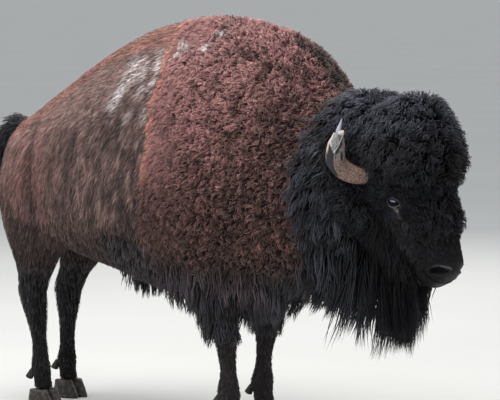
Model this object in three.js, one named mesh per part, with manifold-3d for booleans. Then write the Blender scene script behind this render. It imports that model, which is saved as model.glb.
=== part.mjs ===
// A bull American bison, life size, standing square on four cloven feet with its head carried low.
// Sizes are in millimetres. +X points forwards, +Y to the animal's left and +Z up, and the floor is at zero.
// The flesh is a few lofts, one for each limb and one each for trunk and head. They are joined, then parted
// with thin cuts. The woolly cape and bonnet are rounded clumps. Beard, mane, chaps and the tail's brush are
// tapered locks.
import * as THREE from "three";
import { mergeVertices } from "three/addons/utils/BufferGeometryUtils.js";
import Module from "manifold-3d";

const wasm = await Module();
wasm.setup();

// ---------------------------------------------------------------- driving sizes

const GAP = 0.35; // left between nodes that touch
const FAR = 4000; // larger than the animal
const SIDES = [
  ["right", -1],
  ["left", 1],
];

// How finely each form is drawn: the sides of its rings, and the longest step along it or the steps' number.
const FINE = {
  trunk: { sides: 22, step: 180 },
  head: { sides: 18, step: 90 },
  leg: { sides: 12, step: 110 },
  claw: { sides: 10 },
  dewclaw: { sides: 7 },
  horn: { sides: 10, steps: 11 },
  tail: { sides: 8, steps: 7 },
  eye: { sides: 10, rows: 7 },
  lids: { sides: 5, steps: 12 },
  nostril: { sides: 8, rows: 6, rimRows: 4 },
  clump: { sides: 6, rows: 4 },
};

// The trunk and neck, from rump to nape. Each station has its height along the back (top) and belly (bottom),
// its half width (half), the height of its widest point (mid), how round it is above and below (upper and
// lower, where 2 is an ellipse and less is more like a ridge), and how far it lies to the left (side).
const TRUNK = [
  { x: -1186, top: 1160, bottom: 905, half: 70, mid: 1030, upper: 2, lower: 2, side: 0 },
  { x: -1168, top: 1238, bottom: 840, half: 145, mid: 1030, upper: 2, lower: 2, side: 0 },
  { x: -1110, top: 1320, bottom: 785, half: 212, mid: 1040, upper: 2.1, lower: 2, side: 0 },
  { x: -985, top: 1393, bottom: 745, half: 262, mid: 1060, upper: 2.1, lower: 2.1, side: 0 },
  { x: -850, top: 1480, bottom: 715, half: 290, mid: 1050, upper: 2, lower: 2.2, side: 0 },
  { x: -650, top: 1600, bottom: 668, half: 322, mid: 1030, upper: 1.85, lower: 2.2, side: 0 },
  { x: -450, top: 1698, bottom: 632, half: 348, mid: 1010, upper: 1.75, lower: 2.2, side: 0 },
  { x: -250, top: 1759, bottom: 606, half: 352, mid: 1000, upper: 1.65, lower: 2.1, side: 0 },
  { x: 0, top: 1770, bottom: 590, half: 352, mid: 1000, upper: 1.55, lower: 2, side: 0 },
  { x: 200, top: 1764, bottom: 592, half: 348, mid: 1010, upper: 1.62, lower: 2, side: 0 },
  { x: 400, top: 1722, bottom: 620, half: 326, mid: 1040, upper: 1.78, lower: 2, side: 0 },
  { x: 540, top: 1662, bottom: 664, half: 298, mid: 1060, upper: 1.95, lower: 2, side: 0 },
  { x: 630, top: 1570, bottom: 697, half: 280, mid: 1070, upper: 2.05, lower: 2, side: -3 },
  { x: 700, top: 1474, bottom: 718, half: 268, mid: 1075, upper: 2.1, lower: 2, side: -6 },
  { x: 780, top: 1448, bottom: 742, half: 254, mid: 1080, upper: 2.1, lower: 2, side: -11 },
  { x: 900, top: 1450, bottom: 785, half: 234, mid: 1100, upper: 2.1, lower: 2, side: -20 },
  { x: 1010, top: 1438, bottom: 870, half: 192, mid: 1130, upper: 2.1, lower: 2, side: -32 },
  { x: 1090, top: 1402, bottom: 980, half: 136, mid: 1160, upper: 2, lower: 2, side: -41 },
  { x: 1120, top: 1350, bottom: 1060, half: 80, mid: 1180, upper: 2, lower: 2, side: -44 },
];

// The head, measured from the midpoint between the eyes. Along runs down the face towards the nose. Top and
// bottom are heights above and below the line through the eyes, square to the face.
const HEAD_PITCH = THREE.MathUtils.degToRad(57);
const HEAD_YAW = THREE.MathUtils.degToRad(-6); // a slight turn to the animal's right
const EYE_MIDPOINT = new THREE.Vector3(1197, -52, 1051);
const HEAD = [
  { along: -376, top: 128, bottom: -140, half: 84, mid: -10, upper: 2, lower: 2 },
  { along: -350, top: 190, bottom: -200, half: 130, mid: -20, upper: 2.1, lower: 2 },
  { along: -300, top: 230, bottom: -240, half: 162, mid: -30, upper: 2.2, lower: 2 },
  { along: -215, top: 243, bottom: -262, half: 178, mid: -30, upper: 2.2, lower: 2 },
  { along: -90, top: 222, bottom: -258, half: 172, mid: -25, upper: 2.3, lower: 2 },
  { along: -30, top: 182, bottom: -244, half: 154, mid: -20, upper: 2.3, lower: 2 },
  { along: 20, top: 142, bottom: -228, half: 143, mid: -20, upper: 2.3, lower: 2 },
  { along: 105, top: 122, bottom: -196, half: 120, mid: -25, upper: 2.2, lower: 2.1 },
  { along: 180, top: 106, bottom: -170, half: 97, mid: -25, upper: 2.2, lower: 2.2 },
  { along: 250, top: 86, bottom: -150, half: 82, mid: -25, upper: 2.2, lower: 2.2 },
  { along: 315, top: 68, bottom: -138, half: 80, mid: -20, upper: 2.2, lower: 2.3 },
  { along: 350, top: 42, bottom: -124, half: 66, mid: -25, upper: 2.2, lower: 2.3 },
  { along: 364, top: 10, bottom: -96, half: 40, mid: -35, upper: 2, lower: 2 },
];

// The legs, in level slices from the hoof up. Front and back are measured from the leg's own upright line,
// half is the half width, and out is how far the slice lies from the middle of the animal.
const HOOF_HEIGHT = 82;
const FORELEG = [
  { z: HOOF_HEIGHT, front: 48, back: 50, half: 62, out: 168 },
  { z: 125, front: 32, back: 56, half: 50, out: 168 },
  { z: 178, front: 34, back: 80, half: 56, out: 168 },
  { z: 250, front: 28, back: 56, half: 43, out: 169 },
  { z: 340, front: 34, back: 52, half: 44, out: 171 },
  { z: 430, front: 58, back: 60, half: 57, out: 174 },
  { z: 520, front: 60, back: 66, half: 60, out: 180 },
  { z: 640, front: 74, back: 104, half: 76, out: 192 },
  { z: 780, front: 118, back: 160, half: 100, out: 216 },
  { z: 930, front: 186, back: 205, half: 116, out: 246 },
  { z: 1080, front: 225, back: 205, half: 100, out: 256 },
  { z: 1240, front: 170, back: 150, half: 58, out: 236 },
  { z: 1330, front: 70, back: 60, half: 24, out: 205 },
];
const HINDLEG = [
  { z: HOOF_HEIGHT, front: 46, back: 48, half: 57, out: 150 },
  { z: 120, front: 32, back: 54, half: 46, out: 150 },
  { z: 170, front: 32, back: 76, half: 51, out: 150 },
  { z: 245, front: 18, back: 66, half: 38, out: 149 },
  { z: 360, front: 12, back: 84, half: 41, out: 148 },
  { z: 455, front: 18, back: 122, half: 48, out: 148 },
  { z: 535, front: 26, back: 140, half: 51, out: 150 },
  { z: 605, front: 66, back: 118, half: 62, out: 154 },
  { z: 700, front: 146, back: 128, half: 86, out: 162 },
  { z: 820, front: 226, back: 158, half: 112, out: 168 },
  { z: 960, front: 252, back: 178, half: 124, out: 170 },
  { z: 1100, front: 226, back: 170, half: 116, out: 166 },
  { z: 1240, front: 160, back: 126, half: 82, out: 158 },
  { z: 1320, front: 76, back: 60, half: 30, out: 140 },
];
const LEG_ROUND = 2.2;
const SHOULDER_X = 165;
const HIP_X = -985;
const STEPS = { fore_right: 95, fore_left: -25, hind_right: 45, hind_left: -105 }; // of the feet, forwards
const STEP_FADES_AT = 950; // the height above which a step no longer moves the leg
const LEG_CUT = { fore: 800, hind: 790 }; // where each leg leaves the trunk

// One claw of a cloven hoof, in level slices. Front hooves are a little larger.
const CLAW = [
  { z: 0, front: 88, back: 58, half: 32 },
  { z: 40, front: 72, back: 54, half: 31.5 },
  { z: HOOF_HEIGHT - GAP, front: 44, back: 46, half: 29 },
];
const CLAW_OFFSET = 33.5;
const CLAW_CURVE = 0.06; // how far a claw's tip turns towards its partner
const CLAW_ROUND = { front: 2.1, back: 2.6 };
const FRONT_HOOF_SCALE = 1.07;
const DEWCLAW = { z: 150, tip: 9, root: 19, long: 44, tilt: 28, lateral: 26, back: { fore: 64, hind: 60 } };

// Cuts between the nodes of the trunk, and a point on the plane that parts the neck and head. That plane is
// upright, and square to the way that the head faces.
const LOIN_CUT = -650;
const CAPE_CUT = -215;
const NECK_CUT = 590;
const HEAD_CUT = new THREE.Vector3(925, -35, 0);

// The mouth's plane, from the lips back to the throat, in the head's own axes.
const LIPS = { along: 366, height: -36 };
const MOUTH_SLOPE = 0.3;
const LIP_GROOVE = { high: 10, deep: 7, long: 118, ahead: 30, wide: 400 };

// The horn's centre line in the head's own axes: along, lateral, height. Its sheath ends in a worn step.
const HORN_LINE = [
  [-160, 138, -55],
  [-183, 195, -83],
  [-212, 240, -90],
  [-240, 280, -71],
  [-267, 300, -35],
  [-294, 305, 0],
  [-328, 298, 30],
  [-368, 285, 56],
];
const HORN_RADII = [38, 39, 41, 41, 40, 35, 28, 24];
const HORN_STEP = { at: 0.86, long: 0.012 }; // shares of the horn's length
const HORN_CORE_RADIUS = 13; // the thin core that sticks out beyond the sheath
const HORN_TIP_RADIUS = 2;

const EYE = { radius: 21, lateral: 136, height: 1 };
const LIDS = { halfWidth: 25, halfHeight: 15, thick: 7.5, upper: 1.1, lower: 0.85, out: 11, wrap: 3 };
const EAR = { along: -112, lateral: 150, height: -138, length: 118, width: 52, thick: 26, hollow: 0.7 };
const EAR_REACH = { along: 0.22, lateral: 0.86, height: -0.42 }; // the way that an ear points
const EAR_FACES = { along: 1, height: 0.75 }; // the way that its hollow faces
const EAR_WIDTHS = [0.42, 0.8, 1, 0.9, 0.55, 0.12]; // shares of its width, from root to tip
const NOSTRIL = { along: 326, lateral: 54, height: 4, long: 38, wide: 15, deep: 24 };
const NOSTRIL_TURN = { forward: 0.45, tilt: 0.6 };
const NOSTRIL_RIM = { wide: 8, deep: 14.4, inset: 4 };

const TAIL_LINE = [
  [-1120, 0, 1225],
  [-1215, 4, 1262],
  [-1300, 8, 1250],
  [-1372, 14, 1196],
  [-1418, 20, 1116],
  [-1438, 26, 1020],
];
const TAIL_RADII = [44, 36, 29, 24, 20, 14];
const TAIL_BEND = 0.5; // how far along the tail its brush is parted from its upper length

// The coat. High is how far its clumps stand above their core, and apart is the distance between them. Side,
// crown and under say how much of that height is kept on the flanks, along the top and below.
const CAPE = { from: -24, to: 630, apart: 190, radius: 103, high: 38, side: 1, crown: 1, under: 0.8 };
const MANE = { from: 724, to: 1050, apart: 186, radius: 101, high: 54, side: 1, crown: 1, under: 1 };
const BONNET = { from: -350, to: -62, apart: 142, radius: 90, high: 92, side: 0.68, crown: 1, under: 0.5 };
const FACE = { from: 14, to: 160, apart: 114, radius: 64, high: 44, side: 0.45, crown: 1, under: 0.8 };
const CHEEK = { from: -150, to: -20, apart: 140, radius: 78, high: 46, side: 0.8, crown: 1, under: 1 };
const EYE_CLEAR = 66; // the bare space left round an eye
const CLUMP = { sunk: 0.5, deepest: 24, lean: 0.5 }; // how a clump is rooted, and how far its top leans
const CLUMP_DRAWS = { place: 0.12, radius: [0.92, 1.08], high: [0.86, 1.04] };
const CLUMP_ROWS = 0.88; // the distance between rows of clumps, as a share of that between clumps

// A lock's root is sunk, and its line bends at three places: shares of its length outwards and down its hang.
const LOCK = { sunk: 0.2, deepest: 30, bends: [[0.2, 0.22], [0.22, 0.6], [0.06, 1]] };
const LOCK_TAPER = [0.55, 1, 0.8, 0.05];
const LOCK_DRAWS = { swing: 0.16, length: [0.85, 1.08], width: [0.9, 1.12], turn: 0.35 };

// Locks: where they are rooted, how long they hang, how wide and thick they are, and how many stand in a row.
// Sunk says where their roots lie, fan how far they spread, and trail how far they lean backwards.
const BEARD = { width: 112, thick: 44, turns: [-40, 50, 25], sunk: 14, trail: 0.08 };
const BEARD_NARROWS = { rooted: 500, fan: 130, shorter: 400 }; // the larger, the less it changes sideways
const BEARD_ROWS = [
  { along: 300, length: 150, spread: [-20, 24] },
  { along: 236, length: 300, spread: [-36, 32] },
  { along: 160, length: 425, spread: [-50, 0, 50] },
  { along: 78, length: 470, spread: [-62, 0, 62] },
  { along: -8, length: 430, spread: [-56, 56] },
];
const WHISKERS = { rows: [60, 168], height: -118, length: 250, width: 92, thick: 30, sunk: 0.9 };
const WHISKERS_LEAVE = { lateral: 0.5, height: -0.2 };
const WHISKERS_HANG = { trail: 0.2, inwards: 0.1 };
const THROAT = { from: 450, to: 870, rows: 4, turns: [-42, 0, 42], length: 250, width: 140, thick: 40 };
const THROAT_HANG = { sunk: 8, trail: 0.12, inwards: 0.12 };
const THROAT_TURNS = { across: 0.5, row: 0.3 };
const CHAPS = [
  { z: 742, count: 5, length: 262, width: 132, thick: 38 },
  { z: 585, count: 4, length: 200, width: 112, thick: 34 },
];
const CHAPS_HANG = { out: 0.6, trail: 0.1, inwards: 0.08 };
const SHEATH = { x: -430, count: 3, length: 150, width: 66, thick: 30 };
const SHEATH_HANG = { apart: 26, lateral: 12, sunk: 12, fan: 0.1 };
const TAIL_TUFT = { rows: [0.44, 0.66, 0.9], across: 2, length: 255, width: 104, thick: 42 };
const TAIL_TUFT_HANG = { root: 14, out: 0.8, droop: 0.45 };
const TAIL_TUFT_TURNS = { first: 0.28, row: 0.37 };

// ---------------------------------------------------------------- small helpers

const up = new THREE.Vector3(0, 0, 1);
const down = new THREE.Vector3(0, 0, -1);
const back = new THREE.Vector3(-1, 0, 0);
const forwards = new THREE.Vector3(1, 0, 0);

// A seeded draw, so that the coat is the same each time.
let seed = 20240611;
function draw(low, high) {
  seed = (Math.imul(seed, 1664525) + 1013904223) >>> 0;
  return low + (high - low) * (seed / 4294967296);
}

function solidFrom(geometry) {
  const bare = geometry.clone();
  bare.deleteAttribute("normal");
  bare.deleteAttribute("uv");
  const merged = mergeVertices(bare, 1e-4);
  return new wasm.Manifold(
    new wasm.Mesh({
      numProp: 3,
      vertProperties: new Float32Array(merged.attributes.position.array),
      triVerts: new Uint32Array(merged.index.array),
    }),
  );
}

function geometryOf(solid) {
  const mesh = solid.getMesh();
  const points = new Float32Array(mesh.numVert * 3);
  for (let i = 0; i < mesh.numVert; i++)
    points.set(mesh.vertProperties.subarray(i * mesh.numProp, i * mesh.numProp + 3), i * 3);
  const geometry = new THREE.BufferGeometry();
  geometry.setAttribute("position", new THREE.BufferAttribute(points, 3));
  geometry.setIndex(new THREE.BufferAttribute(mesh.triVerts, 1));
  return geometry;
}

const joined = (solids) => wasm.Manifold.union(solids);

// The largest closed surface of a solid: drops loose scraps and fills sealed hollows.
function largest(solid) {
  const bodies = solid.decompose();
  return bodies.sort((a, b) => b.volume() - a.volume())[0];
}

// The part of a solid past a plane, on the side that the normal points to and half a gap clear of the plane.
function past(solid, point, normal) {
  const block = new THREE.BoxGeometry(FAR, FAR, FAR);
  block.translate(0, 0, (FAR + GAP) / 2);
  block.applyQuaternion(new THREE.Quaternion().setFromUnitVectors(up, normal.clone().normalize()));
  block.translate(point.x, point.y, point.z);
  return solid.intersect(solidFrom(block));
}

const pastX = (solid, x, normal) => past(solid, new THREE.Vector3(x, 0, 0), normal);
const pastZ = (solid, z, normal) => past(solid, new THREE.Vector3(0, 0, z), normal);
const middleOf = (ring) => ring.reduce((sum, p) => sum.add(p), new THREE.Vector3()).divideScalar(ring.length);

// Every named size of a run of stations at one place, on a smooth line through them.
function sizesAt(stations, key, where) {
  const last = stations.length - 1;
  let i = 0;
  while (i < last - 1 && where > stations[i + 1][key]) i++;
  const before = stations[Math.max(i - 1, 0)];
  const low = stations[i];
  const high = stations[i + 1];
  const after = stations[Math.min(i + 2, last)];
  const span = high[key] - low[key];
  const u = (where - low[key]) / span;
  const sizes = {};
  for (const name of Object.keys(low)) {
    const leave = ((high[name] - before[name]) / (high[key] - before[key])) * span;
    const arrive = ((after[name] - low[name]) / (after[key] - low[key])) * span;
    sizes[name] =
      low[name] * (1 - 3 * u * u + 2 * u * u * u) +
      high[name] * (3 * u * u - 2 * u * u * u) +
      leave * (u - 2 * u * u + u * u * u) +
      arrive * (u * u * u - u * u);
  }
  return sizes;
}

// One closed ring, wide by half, up to high and down to low from its centre, as [across, upright] pairs.
function oval(half, high, low, upper, lower, count) {
  const ring = [];
  for (let i = 0; i < count; i++) {
    const turn = (2 * Math.PI * i) / count;
    const c = Math.cos(turn);
    const s = Math.sin(turn);
    const power = 2 / (s >= 0 ? upper : lower);
    const across = half * Math.sign(c) * Math.abs(c) ** power;
    const upright = (s >= 0 ? high : low) * Math.sign(s) * Math.abs(s) ** power;
    ring.push([across, upright]);
  }
  return ring;
}

// Joins rings of points into one closed skin, with a flat fan at each end.
function skin(rings) {
  const count = rings[0].length;
  const points = rings.flat();
  const faces = [];
  for (let r = 0; r + 1 < rings.length; r++)
    for (let i = 0; i < count; i++) {
      const a = r * count + i;
      const b = r * count + ((i + 1) % count);
      faces.push(a, b, b + count, a, b + count, a + count);
    }
  for (const [r, flip] of [
    [0, true],
    [rings.length - 1, false],
  ]) {
    points.push(middleOf(rings[r]));
    for (let i = 0; i < count; i++) {
      const a = r * count + i;
      const b = r * count + ((i + 1) % count);
      faces.push(points.length - 1, flip ? b : a, flip ? a : b);
    }
  }
  return outwards(points, faces);
}

// A closed skin from its points and faces, with every face turned to look outwards.
function outwards(points, faces) {
  let volume = 0;
  for (let i = 0; i < faces.length; i += 3) {
    const [a, b, c] = [points[faces[i]], points[faces[i + 1]], points[faces[i + 2]]];
    volume += a.dot(b.clone().cross(c));
  }
  if (volume < 0)
    for (let i = 0; i < faces.length; i += 3)
      [faces[i + 1], faces[i + 2]] = [faces[i + 2], faces[i + 1]];
  const geometry = new THREE.BufferGeometry().setFromPoints(points);
  geometry.setIndex(faces);
  return geometry;
}

// ---------------------------------------------------------------- the flesh as lofts

// One section of the trunk or head, as [across, upright] pairs.
function section(s, count, grow) {
  return oval(s.half + grow, s.top - s.mid + grow, s.mid - s.bottom + grow, s.upper, s.lower, count);
}

// Each form gives a ring of points at any place along it, let out by grow.
const trunkForm = {
  stations: TRUNK,
  key: "x",
  ring(x, count, grow = 0) {
    const s = sizesAt(TRUNK, "x", x);
    return section(s, count, grow).map(([a, b]) => new THREE.Vector3(x, s.side + a, s.mid + b));
  },
};

const facing = new THREE.Vector3(Math.cos(HEAD_YAW), Math.sin(HEAD_YAW), 0);
const headLeft = new THREE.Vector3(-Math.sin(HEAD_YAW), Math.cos(HEAD_YAW), 0);
const headAlong = facing.clone().multiplyScalar(Math.cos(HEAD_PITCH));
headAlong.z = -Math.sin(HEAD_PITCH);
const headUp = facing.clone().multiplyScalar(Math.sin(HEAD_PITCH));
headUp.z = Math.cos(HEAD_PITCH);

// A point of the head, from its distance along the face, to the left, and above the eyes' line.
function onHead(along, left, height) {
  return EYE_MIDPOINT.clone()
    .addScaledVector(headAlong, along)
    .addScaledVector(headLeft, left)
    .addScaledVector(headUp, height);
}

const headForm = {
  stations: HEAD,
  key: "along",
  ring(along, count, grow = 0) {
    const s = sizesAt(HEAD, "along", along);
    return section(s, count, grow).map(([a, b]) => onHead(along, a, s.mid + b));
  },
};

// A leg stands on its foot's place and blends into its joint at the top. Side is 1 on the left, and -1 on
// the right.
function legForm(stations, jointX, step, side) {
  return {
    stations,
    key: "z",
    ring(z, count, grow = 0) {
      const s = sizesAt(stations, "z", z);
      const rise = Math.min(1, Math.max(0, (z - HOOF_HEIGHT) / (STEP_FADES_AT - HOOF_HEIGHT)));
      const x = jointX + step * (1 - rise * rise * (3 - 2 * rise));
      const shape = oval(s.half + grow, s.front + grow, s.back + grow, LEG_ROUND, LEG_ROUND, count);
      return shape.map(([a, b]) => new THREE.Vector3(x + b, side * s.out + a, z));
    },
  };
}

// A form's solid, with extra rings where the stations are far apart.
function loft(form, { sides, step }, grow = 0) {
  const rings = [];
  const { stations, key } = form;
  for (let i = 0; i + 1 < stations.length; i++) {
    const from = stations[i][key];
    const span = stations[i + 1][key] - from;
    const steps = Math.max(1, Math.round(span / step));
    for (let k = 0; k < steps; k++) rings.push(form.ring(from + (span * k) / steps, sides, grow));
  }
  rings.push(form.ring(stations[stations.length - 1][key], sides, grow));
  return solidFrom(skin(rings));
}

// ---------------------------------------------------------------- clumps and locks

// Places spread evenly over a form in staggered rows, each with its outward normal.
function spots(form, coat, wanted) {
  const found = [];
  const rows = Math.max(1, Math.round((coat.to - coat.from) / (coat.apart * CLUMP_ROWS)));
  const fine = 72;
  const nudge = 5;
  for (let row = 0; row <= rows; row++) {
    const where = coat.from + ((coat.to - coat.from) * row) / rows;
    const ring = form.ring(where, fine);
    const next = form.ring(where + nudge, fine);
    const centre = middleOf(ring);
    const lengths = [0];
    for (let i = 0; i < fine; i++) lengths.push(lengths[i] + ring[i].distanceTo(ring[(i + 1) % fine]));
    const count = Math.max(3, Math.round(lengths[fine] / coat.apart));
    for (let k = 0; k < count; k++) {
      const turn = (k + (row % 2) / 2 + draw(-CLUMP_DRAWS.place, CLUMP_DRAWS.place) + count) % count;
      const goal = (turn * lengths[fine]) / count;
      let i = 0;
      while (i < fine - 1 && lengths[i + 1] < goal) i++;
      const u = (goal - lengths[i]) / (lengths[i + 1] - lengths[i]);
      const point = ring[i].clone().lerp(ring[(i + 1) % fine], u);
      const along = next[i].clone().lerp(next[(i + 1) % fine], u).sub(point).normalize();
      const around = ring[(i + 1) % fine].clone().sub(ring[i]).normalize();
      const normal = around.cross(along).normalize();
      if (normal.dot(centre.clone().sub(point)) > 0) normal.negate();
      if (wanted(point, normal)) found.push({ point, normal });
    }
  }
  return found;
}

// A form's clumps, each with its place and size drawn once. Top is the form's own way up, and lie is the way
// that its coat runs.
function clumps(form, coat, top, lie, wanted) {
  return spots(form, coat, wanted).map(({ point, normal }) => {
    const rise = normal.dot(top);
    const change = rise > 0 ? coat.crown - coat.side : coat.side - coat.under;
    return {
      point,
      normal,
      lie,
      radius: coat.radius * draw(...CLUMP_DRAWS.radius),
      high: coat.high * (coat.side + change * rise) * draw(...CLUMP_DRAWS.high),
      turn: draw(0, Math.PI),
    };
  });
}

// A rounded tuft of wool: a dome of few sides, half sunk, whose top leans the way the coat lies.
function clumpSolid({ point, normal, lie, radius, high, turn }, grow = 0) {
  const sunk = Math.min(high * CLUMP.sunk, CLUMP.deepest);
  const dome = new THREE.SphereGeometry(1, FINE.clump.sides, FINE.clump.rows);
  dome.rotateX(Math.PI / 2);
  dome.rotateZ(turn);
  dome.scale(radius + grow, radius + grow, high + sunk + grow);
  const lean = lie.clone().addScaledVector(normal, -lie.dot(normal)).normalize();
  const frame = new THREE.Matrix4().makeBasis(lean, normal.clone().cross(lean), normal);
  dome.applyMatrix4(frame);
  const corners = dome.attributes.position;
  const base = point.clone().addScaledVector(normal, -sunk);
  const corner = new THREE.Vector3();
  for (let i = 0; i < corners.count; i++) {
    corner.fromBufferAttribute(corners, i);
    const rise = Math.max(0, corner.dot(normal)) / (high + sunk);
    corner.addScaledVector(lean, rise * rise * radius * CLUMP.lean).add(base);
    corners.setXYZ(i, corner.x, corner.y, corner.z);
  }
  return solidFrom(dome);
}

// A flat tapered lock of hair. It leaves its root outwards, bends over and hangs, and ends in a point.
function lockSolid({ root, out, hang, length, width, thick, flat }, grow = 0) {
  const start = root.clone().addScaledVector(out, -Math.min(LOCK.deepest, length * LOCK.sunk));
  const bends = LOCK.bends.map(([leave, fall]) => {
    return root.clone().addScaledVector(out, length * leave).addScaledVector(hang, length * fall);
  });
  const line = new THREE.CubicBezierCurve3(start, ...bends);
  const corners = [
    [1, 0],
    [0, 1],
    [-1, 0],
    [0, -1],
  ];
  const rings = LOCK_TAPER.map((share, i) => {
    const u = i / (LOCK_TAPER.length - 1);
    const way = line.getTangent(u);
    const centre = line.getPoint(u).addScaledVector(way, i === 0 ? -grow : 0);
    const across = flat.clone().addScaledVector(way, -flat.dot(way)).normalize();
    const front = way.clone().cross(across).normalize();
    return corners.map(([a, b]) =>
      centre
        .clone()
        .addScaledVector(across, a * ((width * share) / 2 + grow))
        .addScaledVector(front, b * ((thick * share) / 2 + grow)),
    );
  });
  return solidFrom(skin(rings));
}

// A lock with its small differences drawn once: its size, and the way that it swings and turns.
function drawnLock(root, out, hang, size, flat) {
  const swing = flat.clone().multiplyScalar(draw(-LOCK_DRAWS.swing, LOCK_DRAWS.swing));
  return {
    root,
    out,
    hang: hang.clone().add(swing).normalize(),
    length: size.length * draw(...LOCK_DRAWS.length),
    width: size.width * draw(...LOCK_DRAWS.width),
    thick: size.thick,
    flat: flat.clone().addScaledVector(out, draw(-LOCK_DRAWS.turn, LOCK_DRAWS.turn)).normalize(),
  };
}

// ---------------------------------------------------------------- building the forms

const legs = {};
for (const [place, stations, jointX] of [
  ["fore", FORELEG, SHOULDER_X],
  ["hind", HINDLEG, HIP_X],
])
  for (const [sideName, side] of SIDES) {
    const name = place + "_" + sideName;
    const form = legForm(stations, jointX, STEPS[name], side);
    legs[name] = { place, side, form, solid: loft(form, FINE.leg), footX: jointX + STEPS[name] };
  }

// The radius at a share of a line's length, from evenly spaced radii.
function radiusAt(radii, share) {
  const at = share * (radii.length - 1);
  const low = Math.min(Math.floor(at), radii.length - 2);
  return radii[low] + (radii[low + 1] - radii[low]) * (at - low);
}

// A round solid along a line. Each stop has its share of the line's length and its radius. Let out, it also
// starts a little earlier.
function tube(line, stops, sides, grow) {
  const frames = line.computeFrenetFrames(stops.length - 1, false);
  const rings = stops.map(({ share, radius }, i) => {
    const centre = line.getPoint(share).addScaledVector(line.getTangent(share), i === 0 ? -grow : 0);
    return Array.from({ length: sides }, (_, k) => {
      const turn = (2 * Math.PI * k) / sides;
      return centre
        .clone()
        .addScaledVector(frames.normals[i], (radius + grow) * Math.cos(turn))
        .addScaledVector(frames.binormals[i], (radius + grow) * Math.sin(turn));
    });
  });
  return solidFrom(skin(rings));
}

// The horn's sheath, its worn step, and the thin core beyond it.
function horn(side, grow = 0) {
  const points = HORN_LINE.map(([along, lateral, height]) => onHead(along, side * lateral, height));
  const sheathSteps = FINE.horn.steps - 2;
  const stops = Array.from({ length: sheathSteps + 1 }, (_, i) => {
    const share = (HORN_STEP.at * i) / sheathSteps;
    return { share, radius: radiusAt(HORN_RADII, share) };
  });
  stops.push({ share: HORN_STEP.at + HORN_STEP.long, radius: HORN_CORE_RADIUS });
  stops.push({ share: 1, radius: HORN_TIP_RADIUS });
  return tube(new THREE.CatmullRomCurve3(points), stops, FINE.horn.sides, grow);
}

const eyePlace = (side) => onHead(0, side * EYE.lateral, EYE.height);

function eyeball(side, grow = 0) {
  const ball = new THREE.SphereGeometry(EYE.radius + grow, FINE.eye.sides, FINE.eye.rows);
  const place = eyePlace(side);
  ball.translate(place.x, place.y, place.z);
  return solidFrom(ball);
}

// The lids: a raised almond ring round the eye, a little thicker over it than under it.
function lids(side) {
  const { sides, steps } = FINE.lids;
  const rings = Array.from({ length: steps }, (_, i) => {
    const turn = (2 * Math.PI * i) / steps;
    const out = new THREE.Vector2(LIDS.halfWidth * Math.cos(turn), LIDS.halfHeight * Math.sin(turn));
    const thick = LIDS.thick * (Math.sin(turn) < 0 ? LIDS.lower : LIDS.upper);
    const wrap = (LIDS.wrap * Math.abs(out.x)) / out.length();
    return Array.from({ length: sides }, (_, k) => {
      const round = (2 * Math.PI * k) / sides;
      const reach = 1 + (thick * Math.cos(round)) / out.length();
      const lift = EYE.lateral + LIDS.out + thick * Math.sin(round) - wrap;
      return onHead(out.x * reach, side * lift, EYE.height + out.y * reach);
    });
  });
  return solidFrom(closedRing(rings));
}

// Rings joined into a loop that has no ends.
function closedRing(rings) {
  const count = rings[0].length;
  const faces = [];
  for (let r = 0; r < rings.length; r++)
    for (let i = 0; i < count; i++) {
      const a = r * count + i;
      const b = r * count + ((i + 1) % count);
      const c = ((r + 1) % rings.length) * count + i;
      const d = ((r + 1) % rings.length) * count + ((i + 1) % count);
      faces.push(a, b, d, a, d, c);
    }
  return outwards(rings.flat(), faces);
}

// A way in the head's own axes.
function wayOnHead({ along = 0, lateral = 0, height = 0 }) {
  const way = headLeft.clone().multiplyScalar(lateral);
  return way.addScaledVector(headAlong, along).addScaledVector(headUp, height);
}

// An ear: a leaf-shaped cup, its hollow turned to the front. Let out, it is a full leaf without the hollow.
function ear(side, grow = 0) {
  const rootPoint = onHead(EAR.along, side * EAR.lateral, EAR.height);
  const reach = wayOnHead({ ...EAR_REACH, lateral: side * EAR_REACH.lateral }).normalize();
  const front = wayOnHead(EAR_FACES);
  front.addScaledVector(reach, -front.dot(reach)).normalize();
  const across = front.clone().cross(reach).normalize();
  const tip = EAR_WIDTHS.length - 1;
  const rings = EAR_WIDTHS.map((share, i) => {
    const start = i === 0 ? -grow : 0;
    const centre = rootPoint.clone().addScaledVector(reach, start + (EAR.length * i) / tip);
    const half = (EAR.width * share) / 2 + grow;
    const thick = EAR.thick * (0.35 + 0.65 * share) * 0.5 + grow;
    const hollow = grow === 0 && i > 0 && i < tip ? EAR.hollow : 0;
    const leaf = [
      [-1, 0.2],
      [-0.6, 0.5 - hollow],
      [0, 0.6 - hollow * 1.5],
      [0.6, 0.5 - hollow],
      [1, 0.2],
      [0.6, -0.75],
      [0, -1],
      [-0.6, -0.75],
    ];
    return leaf.map(([a, b]) =>
      centre
        .clone()
        .addScaledVector(across, a * half)
        .addScaledVector(front, b * thick),
    );
  });
  return solidFrom(skin(rings));
}

// The hollow of a nostril, and the raised rim over it.
function nostrilHollow(side) {
  const hollow = new THREE.SphereGeometry(1, FINE.nostril.sides, FINE.nostril.rows);
  hollow.scale(NOSTRIL.long / 2, NOSTRIL.deep, NOSTRIL.wide / 2);
  return atNostril(hollow, side, NOSTRIL.lateral);
}

function nostrilRim(side) {
  const rim = new THREE.SphereGeometry(1, FINE.nostril.sides, FINE.nostril.rimRows);
  rim.scale(NOSTRIL.long / 2 + NOSTRIL_RIM.wide, NOSTRIL_RIM.deep, NOSTRIL.wide / 2 + NOSTRIL_RIM.wide);
  return atNostril(rim, side, NOSTRIL.lateral - NOSTRIL_RIM.inset);
}

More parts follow.
